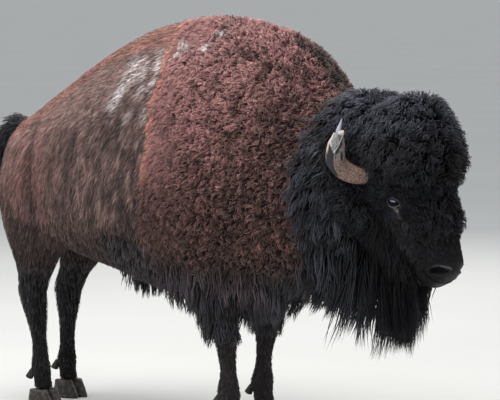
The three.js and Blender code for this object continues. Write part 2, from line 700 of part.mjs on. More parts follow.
// Sets a piece at a nostril: its x runs down the face and tilts up at the front, and its y points outwards.
function atNostril(geometry, side, lateral) {
  const outAxis = wayOnHead({ along: NOSTRIL_TURN.forward, lateral: side }).normalize();
  const longAxis = wayOnHead({ along: 1, height: NOSTRIL_TURN.tilt });
  longAxis.addScaledVector(outAxis, -longAxis.dot(outAxis)).normalize();
  const upAxis = longAxis.clone().cross(outAxis).multiplyScalar(side);
  const basis = new THREE.Matrix4().makeBasis(longAxis, outAxis, upAxis);
  basis.setPosition(onHead(NOSTRIL.along, side * lateral, NOSTRIL.height));
  geometry.applyMatrix4(basis);
  if (side < 0) flipFaces(geometry);
  return solidFrom(geometry);
}

function flipFaces(geometry) {
  const order = geometry.index;
  for (let i = 0; i < order.count; i += 3) {
    const second = order.getX(i + 1);
    order.setX(i + 1, order.getX(i + 2));
    order.setX(i + 2, second);
  }
}

// The groove between the lips, along the plane that parts head and jaw.
const jawPoint = onHead(LIPS.along, 0, LIPS.height);
const jawNormal = wayOnHead({ along: -MOUTH_SLOPE, height: 1 }).normalize();
function lipGroove() {
  const slab = new THREE.BoxGeometry(LIP_GROOVE.long, LIP_GROOVE.wide, LIP_GROOVE.high);
  const axis = wayOnHead({ along: 1, height: MOUTH_SLOPE }).normalize();
  slab.translate(LIP_GROOVE.ahead - LIP_GROOVE.long / 2, 0, 0);
  slab.applyMatrix4(new THREE.Matrix4().makeBasis(axis, headLeft, jawNormal).setPosition(jawPoint));
  return solidFrom(slab).subtract(loft(headForm, FINE.head, -LIP_GROOVE.deep));
}

// One claw of a hoof. Lateral is 1 for the claw on the animal's left and -1 for the one on its right.
function claw(leg, lateral) {
  const scale = leg.place === "fore" ? FRONT_HOOF_SCALE : 1;
  const out = leg.form.stations[0].out * leg.side + lateral * CLAW_OFFSET * scale;
  const { front, back: rear } = CLAW_ROUND;
  const rings = CLAW.map((s) => {
    const shape = oval(s.half * scale, s.front * scale, s.back * scale, front, rear, FINE.claw.sides);
    return shape.map(([a, b]) => {
      const curveIn = -lateral * CLAW_CURVE * Math.max(0, b);
      return new THREE.Vector3(leg.footX + b, out + a + curveIn, s.z);
    });
  });
  return solidFrom(skin(rings));
}

// Two small dewclaws behind a fetlock.
function dewclaws(leg) {
  return SIDES.map(([, lateral]) => {
    const piece = new THREE.CylinderGeometry(DEWCLAW.tip, DEWCLAW.root, DEWCLAW.long, FINE.dewclaw.sides);
    piece.rotateX(Math.PI / 2);
    piece.rotateY(THREE.MathUtils.degToRad(DEWCLAW.tilt));
    const y = leg.form.stations[0].out * leg.side + lateral * DEWCLAW.lateral;
    piece.translate(leg.footX - DEWCLAW.back[leg.place], y, DEWCLAW.z);
    return solidFrom(piece);
  });
}

const tailLine = new THREE.CatmullRomCurve3(TAIL_LINE.map((p) => new THREE.Vector3(...p)));
function tail(grow = 0) {
  const { sides, steps } = FINE.tail;
  const stops = Array.from({ length: steps + 1 }, (_, i) => {
    const share = i / steps;
    return { share, radius: radiusAt(TAIL_RADII, share) };
  });
  return tube(tailLine, stops, sides, grow);
}

// ---------------------------------------------------------------- the coat

const clearOfEyes = (point) => SIDES.every(([, side]) => point.distanceTo(eyePlace(side)) > EYE_CLEAR);
const CHEEK_FROM = -0.2; // the rise of a clump's normal, above which it belongs to the bonnet
const LIES = {
  cape: new THREE.Vector3(-1, 0, -0.7),
  mane: new THREE.Vector3(-0.5, 0, -1),
  bonnet: new THREE.Vector3(0.4, 0, -1),
  cheek: new THREE.Vector3(-0.3, 0, -1),
  face: new THREE.Vector3(0.2, 0, -1),
};

const capeClumps = clumps(trunkForm, CAPE, up, LIES.cape, (_, normal) => normal.z > -0.5);
const maneClumps = clumps(trunkForm, MANE, up, LIES.mane, (_, normal) => normal.z > -0.6);
const bonnetClumps = clumps(headForm, BONNET, headUp, LIES.bonnet, (point, normal) => {
  return normal.dot(headUp) > CHEEK_FROM && clearOfEyes(point);
});
const cheekClumps = clumps(headForm, CHEEK, headUp, LIES.cheek, (point, normal) => {
  return normal.dot(headUp) <= CHEEK_FROM && clearOfEyes(point);
});
const faceClumps = clumps(headForm, FACE, headUp, LIES.face, (point, normal) => {
  return normal.dot(headUp) > -0.75 && clearOfEyes(point);
});

// The beard: rows of locks along the underside of the jaw, longest below its middle.
const beardLocks = BEARD_ROWS.flatMap(({ along, length, spread }) =>
  spread.map((left, k) => {
    const s = sizesAt(HEAD, "along", along);
    const low = s.bottom * (1 - Math.abs(left) / BEARD_NARROWS.rooted) + BEARD.sunk;
    const out = headUp.clone().negate().addScaledVector(headLeft, left / BEARD_NARROWS.fan).normalize();
    const hang = down.clone().addScaledVector(facing, -BEARD.trail).normalize();
    const size = { ...BEARD, length: length * (1 - Math.abs(left) / BEARD_NARROWS.shorter) };
    const flat = headLeft.clone().applyAxisAngle(up, THREE.MathUtils.degToRad(BEARD.turns[k]));
    return drawnLock(onHead(along, left, low), out, hang, size, flat);
  }),
);

// Whiskers: locks that hang from the side of each cheek.
const whiskerLocks = WHISKERS.rows.flatMap((along) =>
  SIDES.map(([, side]) => {
    const s = sizesAt(HEAD, "along", along);
    const place = onHead(along, side * s.half * WHISKERS.sunk, WHISKERS.height);
    const out = wayOnHead({ lateral: side * WHISKERS_LEAVE.lateral, height: WHISKERS_LEAVE.height });
    const hang = down.clone().addScaledVector(facing, -WHISKERS_HANG.trail);
    hang.addScaledVector(headLeft, -side * WHISKERS_HANG.inwards);
    return drawnLock(place, out, hang.normalize(), WHISKERS, facing);
  }),
);

// The mane that hangs below the throat and brisket.
const throatLocks = [];
for (let row = 0; row < THROAT.rows; row++)
  for (const [k, degrees] of THROAT.turns.entries()) {
    const place = (row + (k % 2) / 2) / (THROAT.rows - 0.5);
    const x = THROAT.from + (THROAT.to - THROAT.from) * place;
    const s = sizesAt(TRUNK, "x", x);
    const turn = THREE.MathUtils.degToRad(degrees);
    const out = new THREE.Vector3(0, Math.sin(turn), -Math.cos(turn));
    const low = s.mid - s.bottom - THROAT_HANG.sunk;
    const wide = s.half - THROAT_HANG.sunk;
    const lockRoot = new THREE.Vector3(x, s.side + wide * out.y, s.mid + low * out.z);
    const hang = new THREE.Vector3(-THROAT_HANG.trail, -out.y * THROAT_HANG.inwards, -1).normalize();
    const around = (k - 1) * THROAT_TURNS.across + (row % 2) * THROAT_TURNS.row;
    throatLocks.push(drawnLock(lockRoot, out, hang, THROAT, forwards.clone().applyAxisAngle(up, around)));
  }

// The chaps: locks round a foreleg, in rows down to the knee.
function chapsLocks(leg) {
  return CHAPS.flatMap((row, r) => {
    const ring = leg.form.ring(row.z, row.count * 2);
    const centre = middleOf(ring);
    return Array.from({ length: row.count }, (_, k) => {
      const place = ring[(2 * k + r) % ring.length];
      const out = place.clone().sub(centre).normalize();
      const flat = up.clone().cross(out).normalize();
      const hang = new THREE.Vector3(-CHAPS_HANG.trail, 0, -1).addScaledVector(out, -CHAPS_HANG.inwards);
      return drawnLock(place, out.multiplyScalar(CHAPS_HANG.out), hang.normalize(), row, flat);
    });
  });
}

// The tuft of hair under the belly.
const sheathLocks = Array.from({ length: SHEATH.count }, (_, k) => {
  const turn = k - (SHEATH.count - 1) / 2;
  const x = SHEATH.x + turn * SHEATH_HANG.apart;
  const low = sizesAt(TRUNK, "x", x).bottom + SHEATH_HANG.sunk;
  const place = new THREE.Vector3(x, (k % 2 ? 1 : -1) * SHEATH_HANG.lateral, low);
  const hang = new THREE.Vector3(SHEATH_HANG.fan * turn, 0, -1).normalize();
  return drawnLock(place, down, hang, SHEATH, forwards);
});

// The tail's brush: locks in rings along its outer part, with the last ones at its tip.
const tailLocks = [];
for (const [row, share] of TAIL_TUFT.rows.entries()) {
  const centre = tailLine.getPoint(share);
  const way = tailLine.getTangent(share);
  const left = new THREE.Vector3(0, 1, 0);
  const over = way.clone().cross(left);
  for (let k = 0; k < TAIL_TUFT.across; k++) {
    const turn = Math.PI * ((2 * k) / TAIL_TUFT.across + TAIL_TUFT_TURNS.first + row * TAIL_TUFT_TURNS.row);
    const out = left.clone().multiplyScalar(Math.cos(turn)).addScaledVector(over, Math.sin(turn));
    const place = centre.clone().addScaledVector(out, TAIL_TUFT_HANG.root);
    const flat = way.clone().cross(out).normalize();
    const hang = way.clone().addScaledVector(down, TAIL_TUFT_HANG.droop).normalize();
    tailLocks.push(drawnLock(place, out.multiplyScalar(TAIL_TUFT_HANG.out), hang, TAIL_TUFT, flat));
  }
}

// ---------------------------------------------------------------- the nodes

const root = new THREE.Group();
const LOOKS = {
  coat_brown: { color: 0x3d2b28, roughness: 0.9 },
  coat_cape: { color: 0x5d3830, roughness: 0.95 },
  coat_black: { color: 0x131214, roughness: 0.9 },
  horn: { color: 0x6f655e, roughness: 0.5 },
  hoof: { color: 0x1c1a19, roughness: 0.45 },
  eye: { color: 0x0a0808, roughness: 0.05 },
};
function addNode(name, solid, look) {
  const material = new THREE.MeshStandardMaterial({ metalness: 0, ...LOOKS[look] });
  const mesh = new THREE.Mesh(geometryOf(largest(solid)), material);
  mesh.name = name;
  root.add(mesh);
}

const opposite = (way) => way.clone().negate();
const clumpSolids = (list, grow) => list.map((clump) => clumpSolid(clump, grow));
const lockSolids = (list, grow) => list.map((lock) => lockSolid(lock, grow));

// The whole body in one, without its legs below their cuts.
const legTops = Object.values(legs).map((leg) => pastZ(leg.solid, LEG_CUT[leg.place], up));
const openings = [
  ...SIDES.flatMap(([, side]) => [horn(side, GAP), ear(side, GAP), eyeball(side, GAP), nostrilHollow(side)]),
  tail(GAP),
  lipGroove(),
];
const body = joined([
  loft(trunkForm, FINE.trunk),
  loft(headForm, FINE.head),
  ...legTops,
  ...clumpSolids([...capeClumps, ...maneClumps, ...bonnetClumps, ...cheekClumps, ...faceClumps]),
  ...lockSolids([...beardLocks, ...whiskerLocks, ...throatLocks, ...sheathLocks]),
  ...SIDES.flatMap(([, side]) => [lids(side), nostrilRim(side)]),
]).subtract(joined(openings));

const headWhole = past(body, HEAD_CUT, facing);
const trunkWhole = past(body, HEAD_CUT, opposite(facing));
addNode("head", past(headWhole, jawPoint, jawNormal), "coat_black");
addNode("jaw", past(headWhole, jawPoint, opposite(jawNormal)), "coat_black");
addNode("neck", pastX(trunkWhole, NECK_CUT, forwards), "coat_black");
addNode("shoulders", pastX(pastX(trunkWhole, NECK_CUT, back), CAPE_CUT, forwards), "coat_cape");
addNode("barrel", pastX(pastX(trunkWhole, CAPE_CUT, back), LOIN_CUT, forwards), "coat_brown");
addNode("hindquarters", pastX(trunkWhole, LOIN_CUT, back), "coat_brown");

const tailWhole = joined([tail(), ...lockSolids(tailLocks)]);
const bendPoint = tailLine.getPoint(TAIL_BEND);
const bendWay = tailLine.getTangent(TAIL_BEND);
addNode("tail", past(tailWhole, bendPoint, opposite(bendWay)), "coat_black");
addNode("tail_brush", past(tailWhole, bendPoint, bendWay), "coat_black");

// What the legs must stay clear of: the trunk and its coat, let out by the gap.
const trunkLetOut = joined([
  loft(trunkForm, FINE.trunk, GAP),
  ...clumpSolids(capeClumps, GAP),
  ...lockSolids(throatLocks, GAP),
]);
for (const [name, leg] of Object.entries(legs)) {
  const pieces = [leg.solid, ...dewclaws(leg)];
  if (leg.place === "fore") pieces.push(...lockSolids(chapsLocks(leg)));
  const whole = pastZ(joined(pieces), LEG_CUT[leg.place], down).subtract(trunkLetOut);
  addNode(name.replace("_", "leg_"), whole, "coat_black");
  addNode("hoof_" + name + "_inner", claw(leg, -leg.side), "hoof");
  addNode("hoof_" + name + "_outer", claw(leg, leg.side), "hoof");
}
for (const [name, side] of SIDES) {
  addNode("horn_" + name, horn(side), "horn");
  addNode("ear_" + name, ear(side), "coat_black");
  addNode("eye_" + name, eyeball(side), "eye");
}

// The origin sits on the floor, under the middle of the animal's bounds.
const bounds = new THREE.Box3().setFromObject(root);
const middle = bounds.getCenter(new THREE.Vector3());
root.position.set(-middle.x, -middle.y, -bounds.min.z);
root.updateMatrixWorld(true);

export default root;
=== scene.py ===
# %% [markdown]
# # An American bison bull, life size
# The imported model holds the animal's true size and shape as plain solids. This script dresses it: one skin
# for the whole body, a coat of modelled hair, better horns, hooves and eyes, and a studio to see it in.
# Every piece is in metres and in the same place as the solid that it stands for, so nothing has to be
# fitted afterwards.

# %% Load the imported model
import math

import bmesh
import bpy
import numpy as np
from mathutils import Matrix, Vector
from mathutils.kdtree import KDTree


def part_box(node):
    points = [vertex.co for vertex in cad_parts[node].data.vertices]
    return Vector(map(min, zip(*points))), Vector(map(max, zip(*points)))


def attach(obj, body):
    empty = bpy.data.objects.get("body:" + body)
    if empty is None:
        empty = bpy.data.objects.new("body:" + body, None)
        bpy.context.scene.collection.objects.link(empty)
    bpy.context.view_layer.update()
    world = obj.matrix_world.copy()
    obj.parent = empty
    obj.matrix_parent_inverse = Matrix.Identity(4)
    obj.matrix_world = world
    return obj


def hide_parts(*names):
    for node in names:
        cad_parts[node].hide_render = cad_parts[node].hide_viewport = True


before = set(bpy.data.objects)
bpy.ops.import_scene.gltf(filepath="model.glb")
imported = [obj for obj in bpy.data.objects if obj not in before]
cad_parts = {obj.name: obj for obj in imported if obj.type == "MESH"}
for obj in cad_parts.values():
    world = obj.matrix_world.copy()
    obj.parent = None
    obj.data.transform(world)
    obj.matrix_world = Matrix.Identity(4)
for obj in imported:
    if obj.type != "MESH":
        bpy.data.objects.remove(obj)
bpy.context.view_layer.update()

# %% [markdown]
# ## Where things are
# All sizes of the body are real millimetres, measured from a point on the floor below the ribs. The packed
# model was moved a little to centre it, so the two eyes say where it lies now. The head has its own three
# directions, because it hangs at a steep slope and turns a little to the animal's right.

# %% The body's own axes
MM = 0.001
HEAD_PITCH, HEAD_YAW = math.radians(57), math.radians(-6)
EYES = {"along": 0, "lateral": 136, "height": 1}
BETWEEN_EYES = np.array([1197, -52, 1051])
UP = np.array([0, 0, 1.0])

facing = np.array([math.cos(HEAD_YAW), math.sin(HEAD_YAW), 0])
head_left = np.array([-math.sin(HEAD_YAW), math.cos(HEAD_YAW), 0])
head_along = facing * math.cos(HEAD_PITCH) - UP * math.sin(HEAD_PITCH)
head_up = facing * math.sin(HEAD_PITCH) + UP * math.cos(HEAD_PITCH)
head_axes = np.stack([head_along, head_left, head_up])

eye_boxes = [np.array(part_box(node)) for node in ("eye_right", "eye_left")]
shift = sum(box.mean(axis=0) for box in eye_boxes) / 2 - (BETWEEN_EYES + head_up * EYES["height"]) * MM


def on_head(points):
    """From places on the head (along, left, height) to places on the body."""
    return BETWEEN_EYES + np.asarray(points, float) @ head_axes


def from_body(points):
    """From millimetres on the body to metres in the model."""
    return np.asarray(points, float) * MM + shift


def to_body(points):
    """From metres in the model to millimetres on the body."""
    return (np.asarray(points, float) - shift) / MM


def to_head(points):
    """From places on the body to places on the head."""
    return (points - BETWEEN_EYES) @ head_axes.T


print("the body's zero lies at", shift.round(4))

# %% [markdown]
# ## Sizes of the flesh
# A body is drawn here as naturalists draw it: as cross-sections at stations from rump to nose. Each section
# is an oval that may be wider below than above, like a real rib cage or skull. A smooth line runs through
# each column of sizes, so a few stations are enough.

# %% Stations along trunk, head and legs
# x, top, bottom, half width, height of the widest point, roundness above, roundness below, lies to the left
TRUNK = [
    (-1186, 1160, 905, 70, 1030, 2, 2, 0),
    (-1168, 1238, 840, 145, 1030, 2, 2, 0),
    (-1110, 1320, 785, 212, 1040, 2.1, 2, 0),
    (-985, 1393, 745, 262, 1060, 2.1, 2.1, 0),
    (-850, 1480, 715, 290, 1050, 2, 2.2, 0),
    (-650, 1600, 668, 322, 1030, 1.85, 2.2, 0),
    (-450, 1698, 632, 348, 1010, 1.75, 2.2, 0),
    (-250, 1759, 606, 352, 1000, 1.65, 2.1, 0),
    (0, 1770, 590, 352, 1000, 1.55, 2, 0),
    (200, 1764, 592, 348, 1010, 1.62, 2, 0),
    (400, 1722, 620, 326, 1040, 1.78, 2, 0),
    (540, 1662, 664, 298, 1060, 1.95, 2, 0),
    (630, 1570, 697, 280, 1070, 2.05, 2, -3),
    (700, 1474, 718, 268, 1075, 2.1, 2, -6),
    (780, 1448, 742, 254, 1080, 2.1, 2, -11),
    (900, 1450, 785, 234, 1100, 2.1, 2, -20),
    (1010, 1438, 870, 192, 1130, 2.1, 2, -32),
    (1090, 1402, 980, 136, 1160, 2, 2, -41),
    (1120, 1350, 1060, 80, 1180, 2, 2, -44),
]
# along the face, top, bottom, half width, height of the widest point, roundness above, roundness below
HEAD = [
    (-376, 128, -140, 84, -10, 2, 2),
    (-350, 190, -200, 130, -20, 2.1, 2),
    (-300, 230, -240, 162, -30, 2.2, 2),
    (-215, 243, -262, 178, -30, 2.2, 2),
    (-90, 222, -258, 172, -25, 2.3, 2),
    (-30, 182, -244, 154, -20, 2.3, 2),
    (20, 142, -228, 143, -20, 2.3, 2),
    (105, 122, -196, 120, -25, 2.2, 2.1),
    (180, 106, -170, 97, -25, 2.2, 2.2),
    (250, 86, -150, 82, -25, 2.2, 2.2),
    (315, 68, -138, 80, -20, 2.2, 2.3),
    (345, 44, -120, 65, -24, 2.2, 2.3),
    (357, 12, -88, 40, -32, 2, 2),
]
# height, reach to the front, reach to the back, half width, distance from the body's middle
FORELEG = [
    (82, 48, 50, 62, 168), (125, 32, 56, 50, 168), (178, 34, 80, 56, 168), (250, 28, 56, 43, 169),
    (340, 34, 52, 44, 171), (430, 58, 60, 57, 174), (520, 60, 66, 60, 180), (640, 74, 104, 76, 192),
    (780, 118, 160, 100, 216), (930, 186, 205, 116, 246), (1080, 225, 205, 100, 256),
    (1240, 170, 150, 58, 236), (1330, 70, 60, 24, 205),
]
HINDLEG = [
    (82, 46, 48, 57, 150), (120, 32, 54, 46, 150), (170, 32, 76, 51, 150), (245, 18, 66, 38, 149),
    (360, 12, 84, 41, 148), (455, 18, 122, 48, 148), (535, 26, 140, 51, 150), (605, 66, 118, 62, 154),
    (700, 146, 128, 86, 162), (820, 226, 158, 112, 168), (960, 252, 178, 124, 170),
    (1100, 226, 170, 116, 166), (1240, 160, 126, 82, 158), (1320, 76, 60, 30, 140),
]
LEG_ROUND = 2.2
HOOF_HEIGHT, STEP_FADES_AT = 82, 950
# each leg's table, the place of its joint along the body, how far its foot steps forwards, and its side
LEGS = {
    "fore_right": (FORELEG, 165, 95, -1),
    "fore_left": (FORELEG, 165, -25, 1),
    "hind_right": (HINDLEG, -985, 45, -1),
    "hind_left": (HINDLEG, -985, -105, 1),
}
TAIL_LINE = [(-1120, 0, 1225), (-1215, 4, 1262), (-1300, 8, 1250), (-1372, 14, 1196), (-1418, 20, 1116),
             (-1438, 26, 1020)]
TAIL_RADII = [40, 31, 23, 18, 14, 8]
print("stations:", len(TRUNK) + len(HEAD) + len(FORELEG) + len(HINDLEG))

# %% [markdown]
# Between two stations every size follows a cubic that meets its neighbours without a kink, the same rule
# that a drawing program uses for a smooth curve through points.

# %% Sizes between the stations, and the ovals that they give
def sizes_at(table, where):
    """All sizes of a table of stations at many places, one row for each place."""
    table = np.array(table, float)
    where = np.atleast_1d(np.asarray(where, float))[:, None]
    i = np.clip(np.searchsorted(table[:, 0], where[:, 0]) - 1, 0, len(table) - 2)
    low, high = table[i], table[i + 1]
    before, after = table[np.maximum(i - 1, 0)], table[np.minimum(i + 2, len(table) - 1)]
    span = (high - low)[:, :1]
    u = (where - low[:, :1]) / span
    leave = (high - before) / (high - before)[:, :1] * span
    arrive = (after - low) / (after - low)[:, :1] * span
    rise = 3 * u**2 - 2 * u**3
    return low * (1 - rise) + high * rise + leave * (u - 2 * u**2 + u**3) + arrive * (u**3 - u**2)


def oval(half, high, low, upper, lower, count):
    """A closed ring: how far across and how far up each of its points lies."""
    turn = np.arange(count) * 2 * math.pi / count
    c, s = np.cos(turn), np.sin(turn)
    power = 2 / np.where(s >= 0, upper, lower)
    across = half * np.sign(c) * np.abs(c) ** power
    return across, np.where(s >= 0, high, low) * np.sign(s) * np.abs(s) ** power


def trunk_ring(x, count, inset=0):
    _, top, bottom, half, mid, upper, lower, side = sizes_at(TRUNK, x)[0]
    a, b = oval(half - inset, top - mid - inset, mid - bottom - inset, upper, lower, count)
    return np.stack([np.full(count, x), side + a, mid + b], axis=1)


def head_ring(along, count, inset=0):
    _, top, bottom, half, mid, upper, lower = sizes_at(HEAD, along)[0]
    a, b = oval(half - inset, top - mid - inset, mid - bottom - inset, upper, lower, count)
    return on_head(np.stack([np.full(count, along), a, mid + b], axis=1))


def leg_centre(leg, z):
    """The leg's own upright line, which leans so that the foot is a step ahead of its joint."""
    _, joint, step, side = LEGS[leg]
    rise = np.clip((z - HOOF_HEIGHT) / (STEP_FADES_AT - HOOF_HEIGHT), 0, 1)
    return joint + step * (1 - rise**2 * (3 - 2 * rise)), side


def leg_ring(leg, z, count, inset=0):
    _, front, back, half, out = sizes_at(LEGS[leg][0], z)[0]
    x, side = leg_centre(leg, z)
    a, b = oval(half - inset, front - inset, back - inset, LEG_ROUND, LEG_ROUND, count)
    return np.stack([x + b, side * out + a, np.full(count, z)], axis=1)


def along(table, step):
    """Places along a table that keep every station, with more between those that lie far apart."""
    keys = [row[0] for row in table]
    spans = [(a, b, max(1, round((b - a) / step))) for a, b in zip(keys, keys[1:])]
    places = [np.linspace(a, b, count, endpoint=False) for a, b, count in spans]
    return [*np.concatenate(places), keys[-1]]


print("widest section:", sizes_at(TRUNK, 0).round()[0])

# %% [markdown]
# ## The skin
# On the real animal one hide covers everything, so one closed mesh stands for it. Each limb is first lofted
# on its own: circles become the sections, and bridging joins them. The lofts overlap, and a voxel remesh
# melts them into one surface with no seams, as a sculptor would start. Another way would be to join them
# with Booleans, but that leaves hard creases where a leg meets the belly.

# %% Lofts for the flesh
HIDE_DEPTH = 9  # the short coat's depth, by which the hide lies inside the solids
WOOL_DEPTH = 2
SIDES_ROUND, LEG_SIDES, TAIL_SIDES = 48, 28, 16
hide = bmesh.new()


def loft(bm, rings):
    """Bridges rings of points into one closed form."""
    edges = []
    for k, ring in enumerate(rings):
        is_end = k in (0, len(rings) - 1)
        made = bmesh.ops.create_circle(bm, segments=len(ring), radius=1, cap_ends=is_end)["verts"]
        for vert, place in zip(made, from_body(ring)):
            vert.co = place
        edges.append({edge for vert in made for edge in vert.link_edges})
    for first, second in zip(edges, edges[1:]):
        bmesh.ops.bridge_loops(bm, edges=list(first | second))


def coat_depth(x):
    """The hide lies deep under the short coat, and right at the core of the woolly one."""
    return np.interp(x, [-260, -180], [HIDE_DEPTH, WOOL_DEPTH])


loft(hide, [trunk_ring(x, SIDES_ROUND, coat_depth(x)) for x in along(TRUNK, 60)])
loft(hide, [head_ring(s, SIDES_ROUND, WOOL_DEPTH) for s in along(HEAD, 30)])
for leg in LEGS:
    loft(hide, [leg_ring(leg, z, LEG_SIDES, HIDE_DEPTH * 0.7) for z in along(LEGS[leg][0], 40)])
print("lofts:", len(hide.faces), "faces")

# %% [markdown]
# The tail is a tapering tube and the ears are leaf-shaped cups. Both are bridged from rings too, so that
# the remesh takes them in with the rest.

# %% Tail and ears
EAR = {"along": -112, "lateral": 150, "height": -138, "length": 118, "width": 58, "thick": 34}
EAR_WIDTHS, EAR_SIDES = [0.6, 0.85, 1, 0.95, 0.75, 0.4], 20


def unit(vectors):
    return vectors / np.maximum(np.linalg.norm(vectors, axis=-1, keepdims=True), 1e-9)


def smooth_line(points, count):
    """A smooth line through a few points, as evenly spaced points of its own."""
    points = np.array(points, float)
    table = np.column_stack([np.arange(len(points)), points])
    fine = sizes_at(table, np.linspace(0, len(points) - 1, 12 * len(points)))[:, 1:]
    far = np.concatenate([[0], np.cumsum(np.linalg.norm(np.diff(fine, axis=0), axis=1))])
    want = np.linspace(0, far[-1], count)
    return np.stack([np.interp(want, far, fine[:, k]) for k in range(3)], axis=1)


def tube_rings(line, radii, sides):
    """Rings square to a line, with a radius for each of its points."""
    way = unit(np.gradient(line, axis=0))
    turn = np.arange(sides) * 2 * math.pi / sides
    across = unit(np.cross(way, UP))
    over = np.cross(across, way)
    return [
        centre + radius * (np.outer(np.cos(turn), a) + np.outer(np.sin(turn), b))
        for centre, radius, a, b in zip(line, radii, across, over)
    ]


TAIL_STOPS = 24
tail_line = smooth_line(TAIL_LINE, TAIL_STOPS)
tail_radii = np.interp(np.linspace(0, 1, TAIL_STOPS), np.linspace(0, 1, len(TAIL_RADII)), TAIL_RADII)
loft(hide, tube_rings(tail_line, tail_radii, TAIL_SIDES))


def ear_reach(side):
    """The way that an ear points."""
    return unit(0.86 * side * head_left - 0.42 * head_up + 0.22 * head_along)


for side in (-1, 1):
    root = on_head([EAR["along"], side * EAR["lateral"], EAR["height"]])
    reach = ear_reach(side)
    front = head_along + 0.75 * head_up
    front = unit(front - reach * (front @ reach))
    across = np.cross(front, reach)
    turn = np.arange(EAR_SIDES) * 2 * math.pi / EAR_SIDES
    rings = []
    for k, share in enumerate(EAR_WIDTHS):
        centre = root + reach * EAR["length"] * k / (len(EAR_WIDTHS) - 1)
        thick = EAR["thick"] * (0.55 + 0.45 * share) / 2
        cup = np.where(np.sin(turn) > 0, -0.5 * np.sin(turn), np.sin(turn)) * thick
        wide = np.outer(np.cos(turn) * EAR["width"] * share / 2, across)
        rings.append(centre + wide + np.outer(cup, front))
    loft(hide, rings)
bmesh.ops.recalc_face_normals(hide, faces=hide.faces)
print("with tail and ears:", len(hide.faces), "faces")

# %% [markdown]
# Now the overlapping lofts become one skin. A voxel remesh lays a fine grid through the whole animal and
# keeps only its outside, so a leg flows into the belly as a real one does. It leaves small steps behind,
# and a few rounds of smoothing take them out. Joining the lofts by hand, face by face, would give the same
# skin slowly.

# %% Melt the lofts into one hide
VOXEL, SMOOTHINGS = 15, 4  # the remesh's grain, in millimetres, and the rounds of smoothing after it


def new_piece(name, mesh, material):
    """A piece of the animal, in the scene and riding on its one body."""
    piece = bpy.data.objects.new(name, mesh)
    bpy.context.scene.collection.objects.link(piece)
    mesh.materials.append(material)
    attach(piece, "root")
    return piece


def mesh_from(bm, name):
    """A mesh made of a bmesh, which is freed."""
    mesh = bpy.data.meshes.new(name)
    bm.to_mesh(mesh)
    bm.free()
    return mesh


rough = bpy.data.objects.new("rough_hide", mesh_from(hide, "rough_hide"))
bpy.context.scene.collection.objects.link(rough)
melt = rough.modifiers.new("melt", "REMESH")
melt.mode, melt.voxel_size, melt.use_smooth_shade = "VOXEL", VOXEL * MM, True
melted = bpy.data.meshes.new_from_object(rough.evaluated_get(bpy.context.evaluated_depsgraph_get()))
bpy.data.objects.remove(rough)

hide = bmesh.new()
hide.from_mesh(melted)
for _ in range(SMOOTHINGS):
    axes = {"use_axis_x": True, "use_axis_y": True, "use_axis_z": True}
    bmesh.ops.smooth_vert(hide, verts=hide.verts, factor=0.5, **axes)
print("one hide:", len(hide.faces), "faces")

# %% [markdown]
# ## The face
# The remesh is too coarse for lids and nostrils. Only the face is split into finer faces, once for the
# whole face, again for the muzzle and the eyes, and once more where the lids, the nostrils and the lips
# are. A finer remesh of the whole animal would give the same face, but at twenty times the number of faces.

# %% Places on the face
NOSTRIL_STATIONS = [(345, 52), (338, 38), (325, 20), (312, 0)]  # along the face, degrees round the muzzle
LIPS = {"along": 360, "height": -36, "slope": 0.3, "corner": 262}


def head_point(s, degrees, side=1):
    """A place on the surface of the head: 90 degrees is its ridge, 0 its side, and -90 its underside."""
    _, top, bottom, half, mid, upper, lower = sizes_at(HEAD, s)[0]
    c, sn = math.cos(math.radians(degrees)), math.sin(math.radians(degrees))
    power = 2 / (upper if sn >= 0 else lower)
    height = (top - mid if sn >= 0 else mid - bottom) * abs(sn) ** power
    return np.array([s, side * half * c**power, mid + math.copysign(height, sn)])


def lip_height(places):
    """How far places on the head lie above the plane between the lips."""
    return places[:, 2] - LIPS["height"] - LIPS["slope"] * (places[:, 0] - LIPS["along"])


def away_from(line, places):
    """How far each place lies from a line of points, and how far along the line the nearest one is."""
    gap = np.linalg.norm(places[:, None] - line[None], axis=2)
    nearest = gap.argmin(axis=1)
    return gap[np.arange(len(places)), nearest], nearest / (len(line) - 1)


nostril_lines = {
    side: smooth_line([head_point(s, turn, side) for s, turn in NOSTRIL_STATIONS], 16) for side in (-1, 1)
}
eye_places = {side: np.array([0, side * EYES["lateral"], EYES["height"]]) for side in (-1, 1)}
EYE_OUT, EYE_LONG = (0.32, 0.85, 0.42), (0.62, -0.5, 0.58)  # where an eye looks, and its long way to the nose


def eye_frame(side):
    """An eye's own directions on the head: out, towards its inner corner, and down across it."""
    out = unit(np.array(EYE_OUT) * [1, side, 1])
    inner = np.array(EYE_LONG) * [1, side, 1]
    inner = unit(inner - out * (inner @ out))
    return np.stack([out, inner, np.cross(out, inner) * side])


def eye_view(side, places):
    """Places as seen from an eye: how far out, how far along its slit, and how far below it."""
    return ((places - eye_places[side]) @ eye_frame(side).T).T


print("nostrils:", nostril_lines[1][[0, -1]].round().tolist(), "mm on the head")

# %% [markdown]
# Splitting only the faces whose corners all lie in a region leaves a clean border, because the operator
# fills the edge of the region with smaller faces.

# %% Finer faces where the detail is
PAST_NOSE = 400  # a station ahead of everything on the face


def near_detail(places, eye_reach, nostril_reach, lip_reach):
    """Which places are near an eye, a nostril or the line of the mouth."""
    wanted = (abs(lip_height(places)) < lip_reach) & (places[:, 0] > LIPS["corner"] - lip_reach)
    for side in (-1, 1):
        wanted |= np.linalg.norm(places - eye_places[side], axis=1) < eye_reach
        wanted |= away_from(nostril_lines[side], places)[0] < nostril_reach
    return wanted


